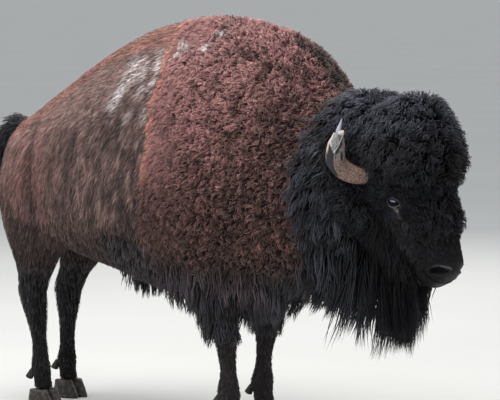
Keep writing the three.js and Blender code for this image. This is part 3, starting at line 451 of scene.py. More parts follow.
def refine(bm, wanted):
    """Splits in four the faces whose corners are all wanted."""
    places = to_head(to_body([vert.co for vert in bm.verts]))
    chosen = wanted(places)
    bm.verts.index_update()
    edges = [edge for edge in bm.edges if all(chosen[vert.index] for vert in edge.verts)]
    bmesh.ops.subdivide_edges(bm, edges=edges, cuts=1, use_grid_fill=True, smooth=0.4)


def whole_face(p):
    return (p[:, 0] > -90) & (p[:, 0] < PAST_NOSE) & (abs(p[:, 1]) < 210) & (p[:, 2] > -240)


def front_of_muzzle(p):
    return (p[:, 0] > 275) & (p[:, 0] < PAST_NOSE) & (abs(p[:, 1]) < 150)


refine(hide, whole_face)
refine(hide, lambda p: near_detail(p, 80, 60, 34) | front_of_muzzle(p))
refine(hide, lambda p: near_detail(p, 46, 34, 15))
bmesh.ops.triangulate(hide, faces=[face for face in hide.faces if len(face.verts) > 4])
print("with a fine face:", len(hide.faces), "faces")

# %% [markdown]
# Two long hollows part the big muscles of the thigh from the seat bone and the tail. The skin dips there,
# and the coat is painted darker in them, as painted shade. The same line serves both, so dip and painted
# shade can't come apart.

# %% Hollows of the haunch
HAUNCH_LINES = [
    [(-936, 150, 1372), (-927, 203, 1313), (-906, 245, 1220), (-904, 275, 1082), (-888, 270, 960),
     (-872, 250, 870), (-850, 235, 790)],
    [(-560, 262, 1290), (-600, 300, 1160), (-640, 318, 1010), (-690, 300, 880)],
]


def pulse(value, centre, width):
    """A smooth bump of height one."""
    return np.exp(-(((value - centre) / width) ** 2))


def haunch_gap(p):
    """How far each place lies from the nearest hollow, on either side of the body."""
    mirrored = np.column_stack([p[:, 0], abs(p[:, 1]), p[:, 2]])
    return [away_from(smooth_line(line, 20), mirrored)[0] for line in HAUNCH_LINES]


body_places = to_body([vert.co for vert in hide.verts])
deep, shallow = haunch_gap(body_places)
dip = 12 * pulse(deep, 0, 24) - 6 * pulse(deep, 52, 26) + 7 * pulse(shallow, 0, 40)
body_places[:, 1] -= np.sign(body_places[:, 1]) * dip
for vert, place in zip(hide.verts, from_body(body_places)):
    vert.co = place
print("hollows:", len(HAUNCH_LINES), "on each side")

# %% [markdown]
# Each feature is now pressed into or raised from the skin by a small rule. The lids hug the ball of the eye
# and leave an almond open. Shallow folds run round it, under a heavy brow. Sculpting by hand would do as
# well, but a rule gives both eyes the same form and can be changed by one number.

# %% Lids and brow
EYE_RADIUS, LID_HUG = 24.5, 28  # the ball, and how far from its middle the lids lie
ALMOND = {"half_length": 26, "half_height": 14.5, "middle": -4}
SOCKET_DEPTH = -12


def almond(slit, below):
    """One on the edge of the open eye, less inside it, more outside."""
    length = (slit - ALMOND["middle"]) / ALMOND["half_length"]
    return np.hypot(length, below / (ALMOND["half_height"] * (1 - 0.35 * np.minimum(length**2, 1))))


def press_eye(places, side):
    """Moves the skin round one eye: lids, the folds round them, the brow and the open slit."""
    out, slit, below = eye_view(side, places)
    round_eye, q = np.hypot(slit, below), almond(slit, below)
    lid = np.sqrt(np.maximum(LID_HUG**2 - round_eye**2, 0)) + 2.4 * pulse(q, 1.12, 0.16)
    lid += -1.8 * pulse(q, 1.5, 0.13) + 1.1 * pulse(q, 1.78, 0.16)
    brow = 6 * pulse(below, -36, 13) * pulse(slit, 0, 34) - 5 * pulse(round_eye, 38, 9)
    shaped = np.maximum(out + brow, np.where(round_eye < LID_HUG, lid, out + brow))
    opened = SOCKET_DEPTH + (shaped - SOCKET_DEPTH) * np.clip((q - 0.84) / 0.16, 0, 1)
    shaped = np.where(q < 1, opened, shaped)
    near = (round_eye < 75) & (out > -45)
    places += np.outer(np.where(near, shaped - out, 0), eye_frame(side)[0])


print("open eye:", 2 * ALMOND["half_length"], "by", 2 * ALMOND["half_height"], "mm")

# %% [markdown]
# The nostril is a comma-shaped hollow with a swollen upper rim, and the lips roll in towards the line of
# the mouth. Both rules work with distances: from the nostril's own line, and from a plane between the lips.

# %% Nostrils and lips
NOSTRIL_DEPTH = 26


def press_nostril(places, side):
    """Hollows one nostril along its line and raises its rim."""
    gap, share = away_from(nostril_lines[side], places)
    inwards = -unit(np.array([0.55, side, 0.1]))
    hollow = np.interp(share, [0, 0.3, 0.7, 1], [8, 16, 16, 9])
    rim = 4 * pulse(gap, hollow + 5, 4) * np.clip(share * 3, 0, 1)
    deep = NOSTRIL_DEPTH * np.clip(1 - (gap / hollow) ** 2, 0, 1) ** 0.6 - rim
    places += np.outer(deep, inwards)


def press_lips(places):
    """Rolls the lips in towards the line of the mouth, fading out at its corner and in front."""
    over = lip_height(places)
    at_mouth = np.clip((places[:, 0] - LIPS["corner"]) / 16, 0, 1) * (places[:, 0] < PAST_NOSE)
    outwards = places * [0.25, 1, 0] / np.maximum(np.hypot(places[:, 1], 40), 1)[:, None]
    outwards[:, 0] = np.clip((places[:, 0] - 330) / 30, 0, 1)
    at_mouth *= np.clip(np.hypot(places[:, 1], 12) / 26, 0, 1)
    lip_shape = -7 * pulse(over, 0, 3.2) + 3.2 * pulse(over, 12, 7) + 2.4 * pulse(over, -12, 7)
    places += unit(outwards) * (lip_shape * at_mouth)[:, None]


places = to_head(to_body([vert.co for vert in hide.verts]))
for side in (-1, 1):
    press_eye(places, side)
    press_nostril(places, side)
press_lips(places)
for vert, place in zip(hide.verts, from_body(on_head(places))):
    vert.co = place
bmesh.ops.recalc_face_normals(hide, faces=hide.faces)
skin_mesh = mesh_from(hide, "skin")
skin_mesh.shade_smooth()
print("skin:", sum(len(face.vertices) - 2 for face in skin_mesh.polygons), "triangles")

# %% [markdown]
# ## Markings
# Skin and hair have to agree on colour at every place, so one function gives the colour for both. Soft
# random patches, seeded so that they are always the same, keep any colour from lying flat.

# %% Soft patches and blends
def blend(low, high, value):
    """Rises smoothly from nothing at low to all at high."""
    t = np.clip((value - low) / (high - low), 0, 1)
    return t * t * (3 - 2 * t)


LATTICE = 32  # random values each way, after which the patches repeat


def cloud(points, size, seed):
    """Soft random patches from -1 to 1. Size is their width in millimetres, and may differ by direction."""
    lattice = np.random.default_rng(seed).uniform(-1, 1, (LATTICE, LATTICE, LATTICE))
    at = points / np.asarray(size, float)
    cell = np.floor(at).astype(int)
    part = at - cell
    part = part * part * (3 - 2 * part)
    total = np.zeros(len(points))
    for corner in np.ndindex(2, 2, 2):
        weight = np.prod(np.where(corner, part, 1 - part), axis=1)
        total += weight * lattice[tuple(((cell + corner) % LATTICE).T)]
    return total


def tone(code):
    """A screen colour as the light that it stands for."""
    value = np.array([int(code[k : k + 2], 16) / 255 for k in (0, 2, 4)])
    return np.where(value <= 0.04045, value / 12.92, ((value + 0.055) / 1.055) ** 2.4)


print("a patch value:", cloud(np.array([[10.0, 20, 30]]), 50, 1).round(3))

# %% [markdown]
# The colours themselves are a short list of tones, and the borders between them are lines down the body. A
# painted picture wrapped round the animal could do the same, but it would be a second file, and it would
# blur close up. A rule in the body's own millimetres stays sharp at any distance.

# %% Tones of the coat
TONE_CODES = {
    "cape": "946867", "cape_light": "ab7d7c", "cape_edge": "d89686", "cape_shade": "3d2728", "nape": "25262b",
    "flank": "5d4c49", "flank_light": "9a7d77", "flank_dark": "2e2828", "haunch": "76564f",
    "spine": "96695f", "dust": "e0d8d8", "belly": "2a2424", "black": "0e0e12", "black_warm": "141110",
    "crown": "3a3b46", "muzzle": "0b0b0e", "tear": "9a918a", "under_eye": "33323d",
}
TONES = {name: tone(code) for name, code in TONE_CODES.items()}


def mixed(first, second, share):
    """Two colours, or rows of colours, mixed by a share for each place."""
    return first + (second - first) * np.asarray(share)[:, None]


print("tones:", len(TONES))

# %% [markdown]
# Two borders matter most. The cape ends behind the shoulder in an edge as sharp as if it were shorn, and
# the black of the mane begins ahead of it. Each is a line down the side, given as heights and how far
# forward the line is there. A little random raggedness keeps the cape's edge from looking ruled.

# %% Borders of the cape, the mane and the head
CAPE_REAR = (
    [786, 1004, 1109, 1174, 1262, 1327, 1359, 1408, 1457, 1540, 1621, 1661, 1800],
    [-138, -107, -116, -103, -99, -121, -114, -144, -131, -108, -136, -130, -150],
)
MANE_REAR = (
    [700, 914, 1119, 1213, 1272, 1318, 1375, 1412, 1457, 1481, 1521, 1560, 1600],
    [690, 730, 712, 733, 742, 762, 782, 803, 800, 750, 692, 660, 645],
)
NECK_MIDDLE = [925, -35, 0]  # where the head's coat begins


def ahead_of_edge(p):
    """How far ahead of the cape's rear edge a place is."""
    return p[:, 0] - np.interp(p[:, 2], *CAPE_REAR)


def cape_share(p):
    """One on the woolly cape, nothing behind its sharp rear edge or in the black mane."""
    ragged = 9 * cloud(p, 34, 3)
    behind = blend(-10, 10, ahead_of_edge(p) + ragged)
    ahead = blend(-24, 24, np.interp(p[:, 2], *MANE_REAR) - p[:, 0] + 2 * ragged)
    return behind * ahead


def head_share(p):
    """One on the head, nothing on the neck behind it."""
    return blend(-20, 20, (p - NECK_MIDDLE) @ facing + 0.2 * (p[:, 2] - 1100))


shoulder = np.array([[200.0, -340, 1100]])
print("the shoulder lies", ahead_of_edge(shoulder).round()[0], "mm ahead of the cape's edge")

# %% [markdown]
# The short coat runs from grey-brown on the back to nearly black below. A bull wallows and rubs, so it is
# never even: hairs stick together in streaks, and dust stays in some of them. The hollows of the haunch and a
# furrow below the ridge of the back carry painted shade. The rubbed places and the furrow are lines with a
# strength and a width, because a line is easy to move.

# %% The short coat's colour
DUST_LINES = [  # where the coat is rubbed and dusty: how much, how wide, and the line in x and z
    (1, 30, [(-318, 1585), (-313, 1551), (-330, 1489), (-366, 1408)]),
    (1, 17, [(-172, 1635), (-162, 1575), (-154, 1524), (-166, 1480)]),
    (0.7, 34, [(-235, 1560), (-243, 1534), (-215, 1480)]),
    (0.8, 10, [(-262, 1606), (-305, 1572)]),
    (0.9, 14, [(-160, 1385), (-136, 1345)]),
    (0.7, 12, [(-247, 1375), (-262, 1340)]),
]
# dark lines: a bald blotch, and painted shade along the furrow below the ridge of the back
DARK_LINES = [  # a bald blotch, and the furrow below the ridge of the back
    (1, 17, [(-208, 1604), (-206, 1546)]),
    (0.7, 15, [(-234, 1685), (-262, 1646), (-291, 1612), (-382, 1590), (-489, 1573), (-602, 1546),
               (-661, 1478)]),
]


def rubbed_and_shaded(flank, p, uneven):
    """Adds dust, a bald blotch and painted shade in the back's furrow, broken up by an uneven pattern."""
    for lines, pale in ((DUST_LINES, TONES["dust"]), (DARK_LINES, TONES["flank_dark"])):
        for strength, width, line in lines:
            away, _ = away_from(smooth_line([(x, 0, z) for x, z in line], 20), p * [1, 0, 1])
            share = strength * pulse(away, 0, width) * (abs(p[:, 1]) > 60)
            flank = mixed(flank, pale, share * blend(-0.75, 0.35, uneven))
    return flank


def flank_colour(p, patches):
    """The short coat: streaked and dusty above, and darker and darker below."""
    height = p[:, 2]
    streaks = 0.7 * cloud(p, [13, 13, 90], 5) + 0.9 * cloud(p, [7, 7, 44], 6)
    flank = mixed(TONES["flank"][None], TONES["flank_light"], blend(-0.1, 1.3, streaks + 0.25 * patches))
    flank = mixed(flank, TONES["flank_dark"], blend(0.05, 1, -streaks - 0.2 * patches))
    near_cape = blend(-560, -260, p[:, 0]) * blend(1480, 1280, height)
    flank = mixed(flank, TONES["flank_dark"], 0.45 * near_cape * blend(0.9, -0.2, streaks))
    haunch = blend(-620, -900, p[:, 0]) * blend(850, 1100, height)
    flank = mixed(flank, TONES["haunch"], 0.85 * haunch * blend(-1.4, 0.4, streaks))
    below_top = np.interp(p[:, 0], [row[0] for row in TRUNK], [row[1] for row in TRUNK]) - height
    flank = mixed(flank, TONES["flank_light"], 0.75 * blend(430, 150, below_top) * blend(-1.7, 0.5, streaks))
    ridge = blend(125, 85, below_top)
    flank = mixed(flank, TONES["spine"], 0.9 * ridge * blend(-1.6, 0.4, streaks))
    flank = rubbed_and_shaded(flank, p, streaks + 0.2 * patches)
    flank = mixed(flank, TONES["belly"], 0.85 * blend(1000, 760, height + 60 * patches + 40 * streaks))
    flank = mixed(flank, TONES["black_warm"], blend(740, 560, height))
    deep, shallow = haunch_gap(p)
    # painted shade in the hollows of the haunch
    flank = mixed(flank, TONES["flank_dark"], 0.8 * pulse(deep, 0, 26) + 0.3 * pulse(shallow, 0, 34))
    return mixed(flank, TONES["cape"], 0.4 * pulse(deep, 62, 22) * (height > 850))


print("short coat on the back:", flank_colour(np.array([[-600.0, -250, 1400]]), np.zeros(1)).round(3))

# %% [markdown]
# The cape's wool is reddish brown, paler on top, and bleached by the sun along its rear edge. Towards the
# neck and the belly it is painted darker, as painted shade low down and in front. High up its curls lie in
# small round patches. Lower down they hang in ringlets, so the random patches are stretched upright there.
# Between the curls and ringlets lies painted shade, and on them a painted highlight. On the crest in front
# runs a strip that is near black.

# %% The cape's colour
BLEACHED = [  # pale flecks: x and z of each, and how far it reaches along and up
    (-22, 1662, 52, 24), (100, 1648, 34, 18), (-54, 1630, 38, 15), (146, 1702, 36, 15), (-80, 1602, 24, 12),
]
# the crease of the shoulder, along which painted shade is laid in the cape's colour
SHOULDER_CREASE = [(372, 300, 1290), (390, 306, 1238), (405, 322, 1113), (402, 325, 1008), (390, 315, 900)]
NAPE_MIDDLE = 38  # how far to the left the black strip on the crest lies


def cape_base(p, patches):
    """The wool's slow changes: pale above and at the rear edge, painted shade below and in front."""
    height, from_edge = p[:, 2], ahead_of_edge(p)
    cape = mixed(TONES["cape"][None], TONES["cape_light"], 0.65 * blend(1250, 1720, height + 90 * patches))
    cape = mixed(cape, TONES["cape_light"], 0.55 * blend(190, 60, from_edge) * blend(950, 1250, height))
    cape = mixed(cape, TONES["cape_edge"], 0.8 * blend(60, 10, from_edge) * blend(900, 1150, height))
    # painted shade: darker low down on the cape, and darker still low in front by the neck
    cape = mixed(cape, TONES["cape_shade"], 0.9 * blend(1300, 930, height + 60 * patches))
    return mixed(cape, TONES["cape_shade"], 0.95 * blend(340, 610, p[:, 0]) * blend(1600, 1340, height))


def cape_colour(p, patches):
    """The wool with its curls, painted shade between them and a painted highlight on them, painted shade in
    the shoulder's crease, bleached flecks and the black strip on the crest.
    """
    height, cape = p[:, 2], cape_base(p, patches)
    mottle = cloud(p, 48, 9) + 0.6 * cloud(p, 21, 10)
    ringlets = cloud(p, [20, 20, 120], 16) + 0.5 * cloud(p, [11, 11, 60], 17)
    hanging = blend(1330, 1120, height + 50 * patches)
    curls = mottle * (1 - hanging) + ringlets * hanging
    curly = 0.45 + 0.55 * blend(60, 200, ahead_of_edge(p))
    # painted shade in the gaps between curls and ringlets, and a painted highlight on them
    cape = mixed(cape, TONES["cape_shade"], 0.9 * curly * blend(0.1, 0.8, -curls))
    cape = mixed(cape, TONES["cape_light"], 0.6 * curly * blend(0.2, 1.1, curls))
    mirrored = np.column_stack([p[:, 0], abs(p[:, 1]), height])
    crease = away_from(smooth_line(SHOULDER_CREASE, 20), mirrored)[0]
    # painted shade along the crease of the shoulder
    cape = mixed(cape, TONES["belly"], 0.75 * pulse(crease, 0, 26))
    for x, z, reach, tall in BLEACHED:
        pale = pulse(p[:, 0], x, reach) * pulse(height, z, tall) * (abs(p[:, 1]) > 50)
        cape = mixed(cape, TONES["dust"], pale * blend(0.05, 0.2, cloud(p, [22, 22, 11], 18)))
    cape = mixed(cape, TONES["belly"], blend(860, 680, height + 30 * patches))
    nape = blend(100, 45, abs(p[:, 1] - NAPE_MIDDLE) + 10 * mottle) * blend(430, 580, p[:, 0] + 30 * mottle)
    return mixed(cape, TONES["nape"], 0.97 * nape)


print("cape at the shoulder:", cape_colour(shoulder, np.zeros(1)).round(3))

# %% [markdown]
# The head is black, but it isn't one black. The crown's wool is painted paler where the sky's light falls on
# it, a painted highlight. The thin hair below the eyes is greyer, and a pale stain runs from each eye's inner
# corner. The last function lays all parts over each other: black first, then cape and short coat, then tail,
# head and face.

# %% The head's colours, and all the markings together
def tear_share(p):
    """One in the pale streak that runs from the inner corner of each eye."""
    h, found = to_head(p), np.zeros(len(p))
    for side in (-1, 1):
        out, slit, below = eye_view(side, h)
        down = blend(12, 20, below) * blend(70, 46, below)
        run = pulse(slit, 8 + 0.62 * (below - 14), 9) * down
        corner = pulse(slit, 29, 5) * pulse(below, 3, 5)
        found = np.maximum(found, np.maximum(run, corner) * (abs(out) < 60))
    return found


def with_face(colour, p, patches):
    """Adds the lit crown, the grey below the eyes, the muzzle and the stains of tears."""
    h, is_head = to_head(p), head_share(p)
    # painted highlight: the top of the crown is lighter where the sky's light falls
    lit_crown = blend(1290, 1410, p[:, 2] + 40 * patches) * blend(-60, 30, abs(h[:, 1]))
    lit_crown = lit_crown * blend(-60, -160, h[:, 0])
    colour = mixed(colour, TONES["crown"], 0.85 * lit_crown * is_head)
    for side in (-1, 1):
        out, slit, below = eye_view(side, h)
        shade = 0.7 * pulse(below, 40, 15) * pulse(slit, 2, 24)
        colour = mixed(colour, TONES["under_eye"], shade * (abs(out) < 60))
    colour = mixed(colour, TONES["muzzle"], blend(300, 345, h[:, 0]) * is_head)
    return mixed(colour, TONES["tear"], tear_share(p) * blend(-0.7, 0.5, cloud(p, 5, 13)))


def markings(p):
    """The coat's colour at places on the body."""
    patches = cloud(p, 190, 7) + 0.5 * cloud(p, 70, 8)
    black = mixed(TONES["black"][None], TONES["black_warm"], blend(-0.4, 0.8, patches))
    is_cape = cape_share(p)
    colour = mixed(black, cape_colour(p, patches), is_cape)
    colour = mixed(colour, flank_colour(p, patches), blend(10, -10, ahead_of_edge(p)) * (1 - is_cape))
    colour = mixed(colour, black, blend(-1130, -1190, p[:, 0] - 0.25 * (p[:, 2] - 1250)))
    colour = mixed(colour, black, head_share(p))
    return with_face(colour, p, patches)


print("markings at the shoulder:", markings(shoulder).round(3))

# %% [markdown]
# ## Writing a material as a sum
# A finish is a small calculation: this noise times that colour, plus a little more on the ridges. Blender
# draws it as boxes and wires. The class below lets Python write it as a formula instead, and each + or *
# adds the box that does it. Everything else, such as a noise or a colour ramp, comes from one method.

# %% Links that can be added and multiplied
class Link:
    """An output in a material's graph, which Python's own + - * / can work on."""

    def __init__(self, finish, socket):
        self.finish, self.socket = finish, socket

    def maths(self, how, first, second):
        return self.finish.node("ShaderNodeMath", {"operation": how}, {0: first, 1: second})

    def __add__(self, other):
        return self.maths("ADD", self, other)

    def __radd__(self, other):
        return self.maths("ADD", other, self)

    def __sub__(self, other):
        return self.maths("SUBTRACT", self, other)

    def __rsub__(self, other):
        return self.maths("SUBTRACT", other, self)

    def __mul__(self, other):
        return self.maths("MULTIPLY", self, other)

    def __rmul__(self, other):
        return self.maths("MULTIPLY", other, self)


print("links can be added, subtracted and multiplied")

# %% [markdown]
# A finish holds the graph of one material. Its method `node` adds any box, and the others are short names
# for the boxes that this animal needs most. Constants go straight on to the main shader's own sockets.

# %% A material under construction
class Finish:
    """A material under construction, with its main shader ready."""

    def __init__(self, name, **constants):
        self.material = bpy.data.materials.new(name)
        self.material.use_nodes = True
        self.tree = self.material.node_tree
        self.shader = self.tree.nodes["Principled BSDF"]
        for socket, value in constants.items():
            self.shader.inputs[socket.replace("_", " ")].default_value = value

    def node(self, kind, settings=None, values=None, output=0):
        """Adds any node. Its settings come first, then what its sockets hold or are linked to."""
        made = self.tree.nodes.new(kind)
        for key, value in (settings or {}).items():
            setattr(made, key, value)
        for key, value in (values or {}).items():
            if isinstance(value, Link):
                self.tree.links.new(value.socket, made.inputs[key])
            else:
                made.inputs[key].default_value = value
        return Link(self, made.outputs[output])

    def places(self, scale=(1, 1, 1)):
        """Object coordinates, stretched by a scale for each direction."""
        place = self.node("ShaderNodeTexCoord", output="Object")
        return self.node("ShaderNodeMapping", None, {"Vector": place, "Scale": scale})

    def noise(self, scale, detail=4, at=None):
        values = {"Vector": at or self.places(), "Scale": scale, "Detail": detail}
        return self.node("ShaderNodeTexNoise", None, values)

    def attribute(self, name):
        """A colour that is stored for each point of the mesh."""
        return self.node("ShaderNodeAttribute", {"attribute_name": name}, output="Color")

    def parts(self, name, count):
        """The first few numbers of a stored colour, each as a link of its own."""
        split = self.node("ShaderNodeSeparateColor", None, {0: self.attribute(name)})
        return [Link(self, split.socket.node.outputs[k]) for k in range(count)]

    def between(self, low, high, value):
        """A value's place between two others, from nothing to all."""
        return self.node(
            "ShaderNodeMapRange",
            {"interpolation_type": "SMOOTHSTEP"},
            {"Value": value, "From Min": low, "From Max": high},
        )

    def mix(self, first, second, share, how="MIX"):
        """Mixes two colours, each a link or three numbers."""
        colours = [c if isinstance(c, Link) else (*c, 1) for c in (first, second)]
        settings = {"data_type": "RGBA", "blend_type": how}
        return self.node("ShaderNodeMix", settings, {0: share, 6: colours[0], 7: colours[1]}, output=2)

    def larger(self, first, second):
        return self.node("ShaderNodeMath", {"operation": "MAXIMUM"}, {0: first, 1: second})

    def grey(self, value):
        """A number as a colour, to multiply other colours by."""
        return self.node("ShaderNodeCombineColor", None, {0: value, 1: value, 2: value})

    def feed(self, **links):
        """Links values that change over the surface to the main shader, and gives the finished material."""
        for socket, link in links.items():
            self.tree.links.new(link.socket, self.shader.inputs[socket.replace("_", " ")])
        return self.material

    def bump(self, height, distance, strength=1.0):
        values = {"Height": height, "Distance": distance, "Strength": strength}
        return self.node("ShaderNodeBump", None, values)


print("formulas ready")

# %% [markdown]
# ## The hide's finish
# Behind the cape a bison's coat is so short and flat that the skin itself can carry it: fine streaks that
# run down the sides in colour and in bump. On the nose the skin is bare, moist and finely pebbled, so it
# gets its own gloss there. Round the eyes it is grey and dry, with a pale stain below the inner corner.

# %% Colours stored on the hide
def paint(mesh, name, colours):
    """Stores a colour for each point of a mesh."""
    layer = mesh.color_attributes.new(name, "FLOAT_COLOR", "POINT")
    with_alpha = np.column_stack([colours, np.ones(len(colours))])
    layer.data.foreach_set("color", with_alpha.astype(np.float32).ravel())


def points_of(mesh):
    """A mesh's points, in metres, as rows."""
    flat = np.empty(len(mesh.vertices) * 3, np.float32)
    mesh.vertices.foreach_get("co", flat)
    return flat.reshape(-1, 3).astype(float)


def skin_details(p):
    """How bare and moist the nose is, how grey and bare the lids are, and where the lids' pale rims
    and the painted wet glints on the nostrils' rims lie.
    """
    h = to_head(p)
    on_head_only = head_share(p) > 0.5
    bare = blend(300, 330, h[:, 0] + 0.25 * h[:, 2]) * on_head_only * blend(-118, -70, h[:, 2])
    lids, rim = np.zeros(len(p)), np.zeros(len(p))
    for side in (-1, 1):
        out, slit, below = eye_view(side, h)
        q = almond(slit, below)
        lids = np.maximum(lids, blend(2.1, 1.2, q) * (out > -20))
        low_lid = pulse(q, 1.14, 0.11) * blend(-4, 8, below)
        high_lid = pulse(q, 1.42, 0.13) * blend(-8, -14, below)
        rim = np.maximum(rim, (low_lid + 0.5 * high_lid) * (out > -20))
        gap, share = away_from(nostril_lines[side], h)
        nearest = np.round(share * (len(nostril_lines[side]) - 1)).astype(int)
        off_line = h - nostril_lines[side][nearest]
        # painted highlight: pale wet glints on the upper rim of each nostril
        wet_glint = pulse(gap, 19, 4.5) * blend(0, 12, off_line @ [-0.87, 0, 0.49]) * blend(1, 0.45, share)
        wet_glint = wet_glint * blend(-0.7, 0.5, cloud(p, 10, 21))
        rim = np.maximum(rim, 0.5 * wet_glint * on_head_only)
    return np.stack([bare, lids, rim], axis=1)


skin_places = to_body(points_of(skin_mesh))
paint(skin_mesh, "coat", markings(skin_places))
paint(skin_mesh, "details", skin_details(skin_places))

print("colours stored for", len(skin_places), "points")

# %% [markdown]
# The finish multiplies the stored colour by streaks of noise that are stretched along the legs and sides,
# as short hair lies. The second stored colour says where the nose is bare and where the lids are, so one
# material can serve the whole hide. Separate materials for nose and lids would meet in a hard line.

# %% Skin material
FLESH = [
    "head", "jaw", "neck", "shoulders", "barrel", "hindquarters", "tail", "tail_brush", "ear_right",
    "ear_left", "foreleg_right", "foreleg_left", "hindleg_right", "hindleg_left",
]
STREAKS, FINE_STREAKS, PEBBLES = (150, 150, 26), (700, 700, 110), 420.0  # how many to the metre, each way

made = Finish("hide", Roughness=0.85, Specular_IOR_Level=0.15)
bare, lids, rim = made.parts("details", 3)
streak = made.noise(1, 6, made.places(STREAKS))
fine = made.noise(1, 3, made.places(FINE_STREAKS))
pebble_values = {"Scale": PEBBLES, "Vector": made.places()}
pebbles = made.node("ShaderNodeTexVoronoi", {"feature": "SMOOTH_F1"}, pebble_values)
shade = 0.3 + 0.85 * streak + 0.65 * fine
colour = made.mix(made.attribute("coat"), made.grey(shade), 1.0, "MULTIPLY")
colour = made.mix(colour, tone("0c0c0f"), 0.8 * bare)
colour = made.mix(colour, tone("2f2e31"), lids * (0.3 + 0.8 * fine))
# pale rims of the lids, and painted wet glints on the nostrils' rims
colour = made.mix(colour, tone("8f8c95"), rim * (0.05 + 1.2 * fine))
roughness = 0.85 - 0.4 * bare - 0.25 * lids
relief = (streak * 0.6 + fine * 0.5) * (1 - bare) + pebbles * 0.5 * bare
hide_finish = made.feed(Base_Color=colour, Roughness=roughness, Normal=made.bump(relief, 0.006, 0.8))
skin = new_piece("skin", skin_mesh, hide_finish)
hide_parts(*FLESH)
print("skin stands for", len(FLESH), "solids")

# %% [markdown]
# ## Eyes
# A bison's eye is a dark, wet ball with a long level pupil. The ball is a sphere, and what brings it to
# life is its coat of clear gloss, which mirrors the lights. The lids and lashes shade most of the ball, so
# the gloss is strong only in a band under the upper lid, where the sky shows. The colour goes from dark
# brown to almost black, and that band carries a painted bluish reflection of the sky as well.

# %% Eye material
made = Finish("eye_ball", Roughness=0.4, Coat_Roughness=0.02, Coat_IOR=1.45, Specular_IOR_Level=0.05)
depth, gleam = made.parts("iris", 2)
iris = made.mix(tone("030306"), tone("1a100c"), depth)
iris = made.mix(iris, made.grey(0.6 + 0.8 * made.noise(90, 3)), 1.0, "MULTIPLY")
# painted reflection: a bluish band of sky in the ball's colour, under the upper lid
iris = made.mix(iris, tone("7c86a6"), gleam)
eye_finish = made.feed(Base_Color=iris, Coat_Weight=0.08 + 0.6 * gleam)
print("eye material:", len(made.tree.nodes), "nodes")

# %% [markdown]
# A sphere from the toolbox is moved to each eye's place. Where the iris, the pupil and the band of gloss
# are is worked out from the eye's own directions and stored for each point. The pupil is twice as long as
# it is tall, and lies level, as in all grazing animals.

# %% Eyes
PUPIL, IRIS = (10, 5.5), (17, 13)  # the pupil's half sizes, and where the iris fades out

for side, name in ((-1, "right"), (1, "left")):
    ball = bmesh.new()
    bmesh.ops.create_uvsphere(ball, u_segments=64, v_segments=40, radius=EYE_RADIUS * MM)
    centre = from_body(on_head(eye_places[side]))
    bmesh.ops.translate(ball, verts=ball.verts, vec=Vector(centre))
    mesh = mesh_from(ball, "eyeball_" + name)
    mesh.shade_smooth()
    out, slit, below = eye_view(side, to_head(to_body(points_of(mesh))))
    pupil = np.hypot(slit / PUPIL[0], below / PUPIL[1])
    iris_share = blend(0.9, 1.1, pupil) * blend(*IRIS, np.hypot(slit, below)) * (out > 0)
    # the band of gloss, which also carries the painted reflection of the sky
    gleam = blend(14, 9, abs(slit + 4)) * blend(4.5, 2.2, abs(below + 8)) * (out > 0)
    paint(mesh, "iris", np.stack([iris_share, 0.8 * gleam, 0 * gleam], axis=1))
    eyeball = new_piece("eyeball_" + name, mesh, eye_finish)
    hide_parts("eye_" + name)
print("eyes made")

# %% [markdown]
# ## Horns
# A horn is a sheath that grows in thin rings from its root. Near the tip an old bull's sheath is worn and
# frayed, and a thin pale core sticks out. The shape is one tube along a curve, ringed where it grows and
# stepped where it is worn. Each point of it stores how far along the horn it is, how far round towards the
# outer side, and a value for the fibre there.

# %% The line of a horn
HORN_LINE = [
    (-160, 138, -55), (-183, 195, -83), (-212, 240, -90), (-240, 280, -71), (-267, 300, -35), (-294, 305, 0),
    (-328, 298, 30), (-368, 285, 56),
]
HORN_RADII = [38, 39, 41, 41, 41, 35.5, 17.5, 12]
HORN_STEP, HORN_CORE_RADIUS, HORN_RINGS, HORN_SIDES = 0.85, 11, 96, 40
WORN_SIDE = (-0.36, 0.75, -0.55)  # the outer and rear face of a horn, in the head's axes

horn_lines = {side: smooth_line([[s, side * r, h] for s, r, h in HORN_LINE], HORN_RINGS) for side in (-1, 1)}
print("horn length:", round(np.linalg.norm(np.diff(horn_lines[1], axis=0), axis=1).sum()), "mm")

# %% [markdown]
# Where a horn is rubbed its black outer layer is gone, down to a brown one that shows its fibres. Further
# up a pale plate has worn flat, with a chipped rim, and dark bands and a crack remain below it. Masks made
# of the stored values say where each of these is.

# %% Where a horn is worn
PLATE_FOOT, PLATE_POINT = 0.653, 0.605  # where the worn plate ends along the horn, and its point round it

made = Finish("horn_sheath", Roughness=0.55, Specular_IOR_Level=0.4)
share, outer, fibre = made.parts("growth", 3)
grain = made.noise(1, 5, made.places((150, 150, 60)))
chips = made.noise(75, 3)
strokes = made.noise(1, 4, made.places((170, 90, 240)))
ragged = 0.035 * chips - 0.0175
off_point = outer - PLATE_POINT
foot = PLATE_FOOT + made.larger(0.24 * off_point, -0.37 * off_point) + ragged
above = share - foot
below = -1 * above
black_band = made.between(0.58, 0.62, outer + ragged) * made.between(0.36, 0.41, share + 0.12 * off_point)
black_band = black_band * (1 - made.between(0.955, 0.98, outer + 2 * ragged))
crack = made.between(0.012, 0.02, below) * (1 - made.between(0.065, 0.1, below + 2 * ragged))
crack = crack * made.between(0.12, 0.18, outer) * (1 - made.between(0.5, 0.56, outer + ragged))
slit = made.between(0.11, 0.14, outer + ragged) * (1 - made.between(0.22, 0.26, outer + ragged))
slit = slit * made.between(0.55, 0.57, share) * (1 - made.between(0.65, 0.67, share))
steps = made.between(0.54, 0.57, share) * made.between(0.5, 0.58, strokes)
steps = steps * (1 - made.between(0.55, 0.6, outer))
print("horn masks:", len(made.tree.nodes), "nodes")

